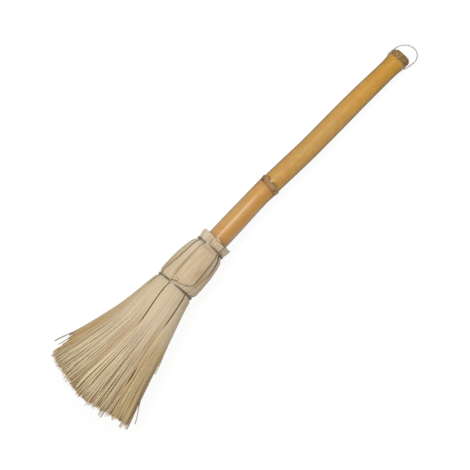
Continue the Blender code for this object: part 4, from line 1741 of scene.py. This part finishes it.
    def gaps(self, lay: Lay) -> Array:
        """Sideways shift of each strip away from the partings of its leaf.

        The shift is half the parting's width, times a half sine wave along it, and dies away
        over the next few strips.

        Args:
            lay: The layer.

        Returns:
            The shift of every strip and row.
        """
        shift, count = np.zeros_like(lay.d), len(lay.d)
        place = np.arange(count)[:, None] + 0.5
        for parting in self.partings:
            if parting.leaf == lay.leaf:
                along = (parting.start - lay.d) / (parting.start - parting.end)
                away = place - parting.share * count
                wave = np.sin(math.pi * np.clip(along, 0.0, 1.0) ** 0.8)
                fade = np.exp(-(np.abs(away) - 0.5) / self.parting_fade)
                shift += 0.5 * parting.width * wave * np.sign(away) * fade
        return shift

    def straying(self, lay: Lay) -> Array:
        """How the strands that stray leave the fan, to end up flat side by side.

        Args:
            lay: The layer.

        Returns:
            Outward push, twist and wear of every strip and row.
        """
        push, twist, worn = changes = np.zeros((3, *lay.d.shape))
        for stray in self.strays:
            if stray.leaf == lay.leaf and lay.drop == 0.0:
                chosen = slice(stray.first, stray.first + stray.strands)
                away = ease((stray.start - lay.d[chosen]) / stray.run)
                place = np.arange(stray.strands)[:, None]
                push[chosen] = (stray.reach + self.stray_step * place) * away
                twist[chosen] = 0.5 * math.pi * away
                worn[chosen] = stray.worn * ease(away * 3.0)
        return changes

    def build(self, finishes: Callable[[int, int], Material]) -> None:
        """Make every leaf of every ring.

        Args:
            finishes: Material for a ring number and a leaf number.
        """
        for ring_number, ring in enumerate(self.rings):
            for leaf_number in range(1, len(ring.seams)):
                layers = [self.layer(ring_number, leaf_number, n) for n in range(len(ring.shares))]
                node = f"leaf_{ring.name}_{leaf_number}"
                slot = Slot.LEAF_OUTER if ring_number == 0 else Slot.LEAF_INNER
                finish = finishes(ring_number, leaf_number)
                make_piece(f"{node}_split", Patch.joined(layers), finish, Body.BROOM, [node],
                           35.0)


@dataclass(frozen=True)
class Flap:
    """Tongue of leaf on the front, slanted at its lower end and held by a nail."""

    head: LeafHead
    low_neck: float = -36.0
    high_neck: float = 28.0
    high_waist: float = 19.0
    end: float = 2.4
    slant: float = 5.8
    curl: float = 5.9
    corner: float = 6.0
    gap: float = 0.35
    thick: float = 1.1
    top: float = 78.2
    width: float = 26.0
    length: float = 70.0
    rim_width: float = 1.2
    rim_thick: float = 0.55
    ripple: float = 0.07
    flush_side: Pair = (0.84, 0.14)
    flush_top: Pair = (26.0, 16.0)
    flush_thin: float = 0.6
    flush_sunk: float = 0.5
    columns: int = 56
    rows: int = 70

    def end_station(self, share: Array) -> Array:
        """Lower end of the flap: a slant towards its high edge, with a round low corner.

        Args:
            share: Share of the width, from the low edge.

        Returns:
            The station at each.
        """
        left = 1.0 - share
        corner = self.corner * np.exp(-share / 0.04)
        return self.end + self.slant * left + self.curl * left ** 6 + corner

    def build(self, finish: Material) -> None:
        """Make the flap: two faces a thickness apart, with a rounded rim.

        Args:
            finish: Material of the flap.
        """
        share = np.linspace(0.0, 1.0, self.columns)[None, :]
        along = np.linspace(0.0, 1.0, self.rows)[:, None]
        start = self.top + 0.7 * np.sin(share * 9.0) + 0.4 * np.sin(share * 31.0)
        d = start + (self.end_station(share) - start) * along
        up = np.clip(d / self.head.neck, 0.0, 1.0)
        high = self.high_waist + (self.high_neck - self.high_waist) * up
        turn = np.radians(self.low_neck + (high - self.low_neck) * share)
        station = d + self.head.shear(d, np.sin(turn))
        ground = [point for point in self.head.outline if point[0] > 3.0]
        radius = smoothed(d, ground, self.head.blur) + self.gap
        rim = np.minimum(np.minimum(share, 1.0 - share) * self.width,
                         np.minimum(along, 1.0 - along) * self.length)
        body = self.thick * (self.rim_thick + (1.0 - self.rim_thick) * ease(rim / self.rim_width))
        body = body + self.ripple * Ripple(31, 30.0, 6.0).at(d, self.width * share)
        (side, side_run), (top, top_run) = self.flush_side, self.flush_top
        flush = ease((share - side) / side_run) * ease((d - top) / top_run)
        body = body * (1.0 - self.flush_thin * flush)
        radius = radius - self.flush_sunk * flush
        faces = [AXIS.around(station, radius + height, turn) for height in (body, 0.0)]
        # Width of the dark rim band, wider on the low -Y edge where it is painted shade.
        edge = 1.0 - ease(rim / (0.9 + 1.3 * ease((0.5 - share) / 0.3)))
        grain = triples(d, self.width * (share - 0.5), edge).reshape(-1, 3)
        patch = Patch(np.concatenate(faces).reshape(-1, 3), thick_faces(self.rows, self.columns),
                      np.concatenate([grain, grain]))
        make_piece("front_flap", patch, finish, Body.BROOM, ["leaf_flap"], 50.0)


def thick_faces(rows: int, columns: int) -> Array:
    """Faces of a sheet with a thickness and a rim.

    Args:
        rows: Rows of its outer points, which come first, and of its inner ones.
        columns: Points in each row.

    Returns:
        One row of four point numbers for each face.
    """
    count = rows * columns
    outer = grid_faces(rows, columns)
    inner = grid_faces(rows, columns, flip=True) + count
    here = np.arange(count).reshape(rows, columns)
    border = np.concatenate([here[0, ::-1], here[1:, 0], here[-1, 1:], here[-2:0:-1, -1]])
    after = np.roll(border, -1)
    rim = np.stack([border, after, after + count, border + count], -1)
    return np.concatenate([outer, inner, rim])


@dataclass(frozen=True)
class Nail:
    """Round-headed nail that holds the flap down; its head is given as rise and radius."""

    station: float = 6.4
    angle: float = 8.0
    shank_radius: float = 0.75
    under: float = 29.78
    tip: float = 11.3
    head: Outline = (
        (0.0, 0.75), (0.0, 2.0), (0.35, 2.02), (0.62, 1.86), (0.78, 1.5), (0.8, 1.3), (0.72, 1.1),
        (0.54, 0.9), (0.5, 0.6), (0.58, 0.0))

    def build(self, finish: Material) -> None:
        """Make the nail as a turned body on its own slanted axis.

        Args:
            finish: Material of the nail.
        """
        profile = np.array([(self.tip, 0.0), (self.tip + 2.0, self.shank_radius),
                            *((self.under + rise, radius) for rise, radius in self.head)])
        angle = once_round(36)[None, :]
        height, radius = profile[:, :1], profile[:, 1:]
        tilt = math.radians(self.angle)
        side = radius * np.sin(angle)
        y = float(AXIS.sideways(self.station)) + side * math.cos(tilt) + height * math.sin(tilt)
        z = height * math.cos(tilt) - side * math.sin(tilt)
        # The grain's third number is the radius, which the finish darkens near the rim as painted
        # shade.
        patch = Patch.of_grid(triples(self.station + radius * np.cos(angle), y, z),
                              triples(height, side, radius))
        make_piece("round_nail", patch, finish, Body.BROOM, ["flap_nail"], 50.0)


@dataclass(frozen=True)
class BindingWire:
    """Wire wound twice round the head, its ends twisted together and folded down.

    Each climb from the tail to the turns is given as steps of an angle, a way back and a rise.
    """

    name: str
    node: str
    station: float
    start: float
    slant: float
    fold: float
    ground: float
    # Angle in degrees of the painted highlight on the turns.
    painted_glint: float
    flap_rise: float = 0.0
    radius: float = 0.5
    pitch: float = 1.45
    turns: int = 2
    twist_radius: float = 0.84
    twist_lead: float = 7.0
    tail_straight: float = 5.2
    tail_lift: float = 1.6
    tail_step: float = 0.6
    free_angle: float = 40.0
    knots_a_turn: int = 60
    step: float = 0.7
    climbs: tuple[tuple[Triple, ...], ...] = (
        ((8.0, 1.2, 1.75), (17.0, 2.45, 1.6), (28.0, 2.85, 0.7)),
        ((-28.0, 0.0, 0.3), (-18.0, 0.0, 0.9), (-9.0, 0.0, 1.5)))

    def centre_radius(self, angle: Array | float) -> Array:
        """Radius of the turns' centre line, which may rise over the flap.

        Args:
            angle: Angle in degrees.

        Returns:
            The radius.
        """
        away = (angle + 180.0) % 360.0 - 180.0
        over = ease((60.0 - away) / 26.0) * ease((away + 62.0) / 20.0)
        return self.ground + self.flap_rise * over

    def on_head(self, angle: Array, d: Array, radius: Array) -> Array:
        """Points round the head at an angle in degrees, slanted with the waist."""
        turn = np.radians(angle)
        return AXIS.around(d, radius, turn) - triples(self.slant * np.sin(turn), 0.0, 0.0)

    def tail(self, side: float) -> Array:
        """One strand of the twisted tail, from its foot to its end.

        The centre line rises off the head, bends over by a quarter circle and runs on straight;
        the strand circles it once in every twist lead.

        Args:
            side: 1 or -1 for the two strands.

        Returns:
            Points along the strand.
        """
        start = math.radians(self.start)
        around = np.array([0.0, math.cos(start), -math.sin(start)])
        bend_length = self.fold * math.pi / 2.0
        total = bend_length + self.tail_straight
        along = np.linspace(0.0, total, int(total / self.tail_step))
        bend = np.minimum(along / self.fold, math.pi / 2.0)
        straight = np.maximum(along - bend_length, 0.0)
        last = self.station + 0.5 * self.turns * self.pitch
        base = self.centre_radius(self.start) + self.tail_lift
        centre = self.on_head(self.start, last + self.fold * (1.0 - np.cos(bend)) + straight,
                              base + self.fold * np.sin(bend))
        ahead = np.stack([np.sin(bend), math.sin(start) * np.cos(bend),
                          math.cos(start) * np.cos(bend)], -1)
        phase = (TAU * along / self.twist_lead)[:, None]
        offset = around * np.cos(phase) + np.cross(ahead, around) * np.sin(phase)
        return centre + side * self.twist_radius * offset

    def path(self) -> Array:
        """Centre line of the whole wire: tail, climb, turns, climb and tail.

        Returns:
            Points along it.
        """
        first = self.station - 0.5 * self.turns * self.pitch
        last = self.station + 0.5 * self.turns * self.pitch
        sweep = 360.0 * self.turns
        passed = np.linspace(self.free_angle, sweep - self.free_angle,
                             self.knots_a_turn * self.turns)
        angle = self.start + passed
        wound = self.on_head(angle, first + (last - first) * passed / sweep,
                             self.centre_radius(angle))
        turn, back, rise = np.array(self.climbs).T
        turn = turn + self.start
        climb = self.on_head(turn, last - back, self.centre_radius(turn) + rise)
        knots = np.concatenate([self.tail(1.0)[::-1], climb[:, 0], wound, climb[:, 1],
                                self.tail(-1.0)])
        return curve_through(knots, self.step)

    def build(self, finish: Material) -> None:
        """Make the wire.

        Args:
            finish: Material of the wire.
        """
        patch = tube(self.path(), self.radius, 14)
        d, y, z = patch.points.T
        angle = np.degrees(np.arctan2(y - AXIS.sideways(d), z))
        # Painted highlight: the third grain number falls below zero round the glint's angle.
        patch.grain[:, 2] = -bell((angle - self.painted_glint) / 9.0)
        make_piece(self.name, patch, finish, Body.BROOM, [self.node], 60.0)


@dataclass(frozen=True)
class Hanger:
    """Wire loop that swings in the cane's top end."""

    wire_radius: float = 0.8
    half_width: float = 16.6
    reach: float = 31.8
    skew: float = -27.0
    leg: Outline = (
        (0.0, 7.2), (0.0, 13.4), (0.35, 14.7), (1.4, 15.7), (3.0, 16.1), (8.0, 16.5))

    def path(self) -> Array:
        """Bail in its own plane: two bent legs and a half circle between them."""
        leg = np.array(self.leg)
        turn = np.linspace(-math.pi / 2.0, math.pi / 2.0, 25)
        bow = np.stack([self.reach - self.half_width + self.half_width * np.cos(turn),
                        self.half_width * np.sin(turn)], -1)
        flat = np.concatenate([leg * [1.0, -1.0], bow, leg[::-1]])
        return curve_through(np.column_stack([flat, np.zeros(len(flat))]), 0.9)

    def placed(self, points: Array, droop: float) -> Array:
        """Put points of the loop's own plane on its hinge.

        Args:
            points: Points with the hinge along y.
            droop: Fall of the crown in degrees.

        Returns:
            Points in millimetres along the broom's straight axis.
        """
        near, far = AXIS.sideways(AXIS.hinge_d + np.array([-5.0, 5.0]))
        yaw = math.atan((far - near) / 10.0)
        turn = (rotation(2, yaw) @ rotation(0, math.radians(self.skew))
                @ rotation(1, math.radians(droop)))
        return points @ turn.T + [AXIS.hinge_d, float(AXIS.sideways(AXIS.hinge_d)), 0.0]

    def resting_droop(self) -> float:
        """Droop at which the crown comes down on the floor, found by halving."""
        low, high = 0.0, 60.0
        path = self.path()
        for _ in range(30):
            middle = 0.5 * (low + high)
            height = AXIS.to_frame(self.placed(path, middle))[:, 2].min() / MM
            low, high = (middle, high) if height > self.wire_radius else (low, middle)
        return low

    def build(self, finish: Material) -> None:
        """Make the loop at rest.

        Args:
            finish: Material of the wire.
        """
        path = self.placed(self.path(), self.resting_droop())
        make_piece("loop_wire", tube(path, self.wire_radius, 16), finish,
                   Body.HANGER, ["hanging_loop"], 60.0)


HANGER = Hanger()


def mid_edge(angle: Array) -> Array:
    """Edge of the middle sheath: elliptical lobes round the node, two of them on the front.

    LOBES holds the middle and the half width of each in degrees, and its rise.

    Args:
        angle: Angle in degrees.

    Returns:
        The station of the edge.
    """
    edge = np.full_like(angle, LOBE_FOOT)
    for centre, half, rise in LOBES:
        away = np.abs((angle - centre + 180.0) % 360.0 - 180.0) / half
        edge = np.maximum(edge, LOBE_FOOT + rise * np.sqrt(np.maximum(0.0, 1.0 - away ** 2)))
    return edge + 0.25 * np.sin(np.radians(angle) * 23.0)


def top_edge(angle: Array) -> Array:
    """Ragged edge of the top sheath, short of the cane's cut end.

    Args:
        angle: Angle in degrees.

    Returns:
        The station of the edge.
    """
    turn = np.radians(angle)
    ragged = 0.5 * np.sin(3.0 * turn + 0.7) + 0.4 * np.sin(8.0 * turn + 2.0)
    ragged += 0.35 * np.sin(31.0 * turn) * np.sin(13.0 * turn + 1.0)
    return TOP_EDGE + 1.2 * np.sin(turn) + ragged


@dataclass(frozen=True)
class Studio:
    """Floor, lamps, background and camera of the photograph."""

    image_pixels: float = 470.0
    millimetres_per_pixel: float = 1.271
    axis_slope_degrees: float = 47.0
    centre_d: float = 99.1
    centre_y: float = -11.66
    lens: float = 400.0
    sensor: float = 36.0
    clip_end: float = 100.0
    key_tilt: float = 19.0
    key_distance: float = 1.7
    key_size: Pair = (1.3, 0.3)
    key_power: float = 14.5
    key_tint: Triple = (1.0, 0.98, 0.95)
    sky: float = 0.60
    sky_tint: Colour = (1.0, 0.99, 0.975, 1.0)
    floor_half: float = 30.0
    floor_below: float = 0.0002
    floor_white: float = 1.08
    floor_tone: Colour = seen(226, 226, 226)
    floor_bounce: Colour = seen(178, 178, 178)
    floor_share: float = 0.84

    def build(self) -> None:
        """Make the stage and the camera."""
        self.floor()
        self.background()
        self.key_lamp()
        self.camera()

    def floor(self) -> None:
        """Pale floor: a camera sees it white with a faint shadow, and it bounces a soft light."""
        graph = Graph("pale_floor")
        plain = graph.node("ShaderNodeBsdfDiffuse", None, {"Color": self.floor_tone})
        white = graph.node("ShaderNodeEmission", None, {"Strength": self.floor_white})
        shown = graph.node("ShaderNodeMixShader", None, {0: self.floor_share, 1: plain, 2: white})
        bounce = graph.node("ShaderNodeBsdfDiffuse", None, {"Color": self.floor_bounce})
        mixed = graph.node("ShaderNodeMixShader", None,
                           {0: graph.seen_directly(), 1: bounce, 2: shown})
        corners = np.array([(-1, -1, 0), (1, -1, 0), (1, 1, 0), (-1, 1, 0)]) * self.floor_half
        mesh = bpy.data.meshes.new("floor")
        mesh.from_pydata((corners - [0.0, 0.0, self.floor_below]).tolist(), [], [(0, 1, 2, 3)])
        mesh.materials.append(graph.shown(mixed))
        linked("floor", mesh)

    def background(self) -> None:
        """Soft light from all round, with white where it is seen directly."""
        graph = Graph("studio", world=True)
        soft = graph.node("ShaderNodeBackground", None,
                          {"Color": self.sky_tint, "Strength": self.sky})
        white = graph.node("ShaderNodeBackground", None, {"Color": seen(255, 255, 255)})
        bpy.context.scene.world = graph.shown(graph.node(
            "ShaderNodeMixShader", None, {0: graph.seen_directly(), 1: soft, 2: white}))

    def key_lamp(self) -> None:
        """Long soft lamp over the broom, a little towards +Y."""
        lamp = bpy.data.lights.new("key", "AREA")
        lamp.shape = "RECTANGLE"
        lamp.size, lamp.size_y = self.key_size
        lamp.energy = self.key_power
        lamp.color = self.key_tint
        holder = linked("key", lamp)
        tilt = math.radians(self.key_tilt)
        away = self.key_distance
        holder.location = (0.0, math.sin(tilt) * away, math.cos(tilt) * away)
        holder.rotation_euler = (-tilt, 0.0, 0.0)

    def camera(self) -> None:
        """Camera straight over the broom, turned so that the cane points up to the right."""
        data = bpy.data.cameras.new("camera")
        data.lens = self.lens
        data.sensor_width = self.sensor
        field = self.image_pixels * self.millimetres_per_pixel * MM
        height = field * self.lens / self.sensor
        target = AXIS.to_frame(np.array([self.centre_d, self.centre_y, 0.0]))
        camera = linked("camera", data)
        camera.location = (target[0], target[1], target[2] + height)
        camera.rotation_euler = (0.0, 0.0, -math.radians(self.axis_slope_degrees))
        data.clip_end = self.clip_end
        bpy.context.scene.camera = camera


def leaf_finishes() -> Callable[[int, int], Material]:
    """Materials of the leaves: golden on the +Y edge, duller on the other and browner inside.

    Returns:
        A function that gives the material for a ring number and a leaf number.
    """
    plain = LeafFinish("leaf_plain")
    made = {
        "plain": replace(plain, streaky_strand=7.0).material(),
        "golden": replace(plain, name="leaf_golden", pale=seen(208, 188, 154),
                          plain=seen(192, 170, 132), brown=seen(152, 112, 62), brown_share=0.7,
                          far=seen(212, 182, 130), far_share=0.7, far_start=-66.0, far_end=-108.0,
                          worn_strand=28.0).material(),
        "pink": replace(plain, name="leaf_pink", pale=seen(224, 206, 178),
                        plain=seen(212, 190, 158), brown=seen(160, 120, 72), brown_share=0.7,
                        far=seen(216, 192, 142), far_share=0.85, far_start=-40.0,
                        far_end=-90.0).material(),
        "inner": replace(plain, name="leaf_inside", pale=seen(212, 180, 118),
                         plain=seen(192, 154, 90), brown=seen(150, 110, 56), brown_share=0.6,
                         far_share=0.0).material(),
    }

    def choose(ring_number: int, leaf_number: int) -> Material:
        """Material for one leaf."""
        if ring_number:
            return made["inner"]
        return made[{7: "golden", 3: "pink", 4: "pink"}.get(leaf_number, "plain")]

    return choose


def main() -> None:
    """Build the broom piece by piece, then the stage."""
    logging.basicConfig(level=logging.INFO, format="%(name)s: %(message)s")
    cane = Cane()
    head = LeafHead()
    cane.build(CaneFinish("cane_varnish").material())
    lobes = SheathFinish("node_sheath_finish").material()
    NodeSheath("node_scales", "node_sheath_mid", base=173.0, inner=13.95, thick=0.45, flare=0.3,
               edge=mid_edge, cane=cane).build(lobes)
    crust = CrustFinish("crust_finish").material()
    NodeSheath("top_crust", "node_sheath_top", base=406.4, inner=11.95, thick=0.65, flare=-0.2,
               edge=top_edge, cane=cane, fibres=260).build(crust)
    head.build(leaf_finishes())
    Flap(head).build(FlapFinish("flap_face").material())
    dull = WireFinish("dull_wire_finish", clean=seen(156, 144, 126), dull=seen(86, 74, 58),
                      patch=0.07).material()
    BindingWire("neck_binding", "neck_wire", station=66.0, start=14.0, slant=0.0, fold=2.2,
                ground=20.8, flap_rise=1.45, painted_glint=14.0).build(dull)
    BindingWire("waist_binding", "waist_wire", station=0.0, start=200.0, slant=1.7, fold=2.6,
                ground=26.4, painted_glint=12.0).build(dull)
    Nail().build(WireFinish("nail_finish", clean=seen(190, 172, 150), dull=seen(170, 150, 126),
                            rough=0.5).material())
    HANGER.build(WireFinish("bright_wire_finish", clean=seen(200, 200, 202),
                            dull=seen(152, 150, 148)).material())
    Studio().build()
    scene = bpy.context.scene
    scene.view_settings.view_transform = "Standard"


if __name__ == "__main__":
    main()
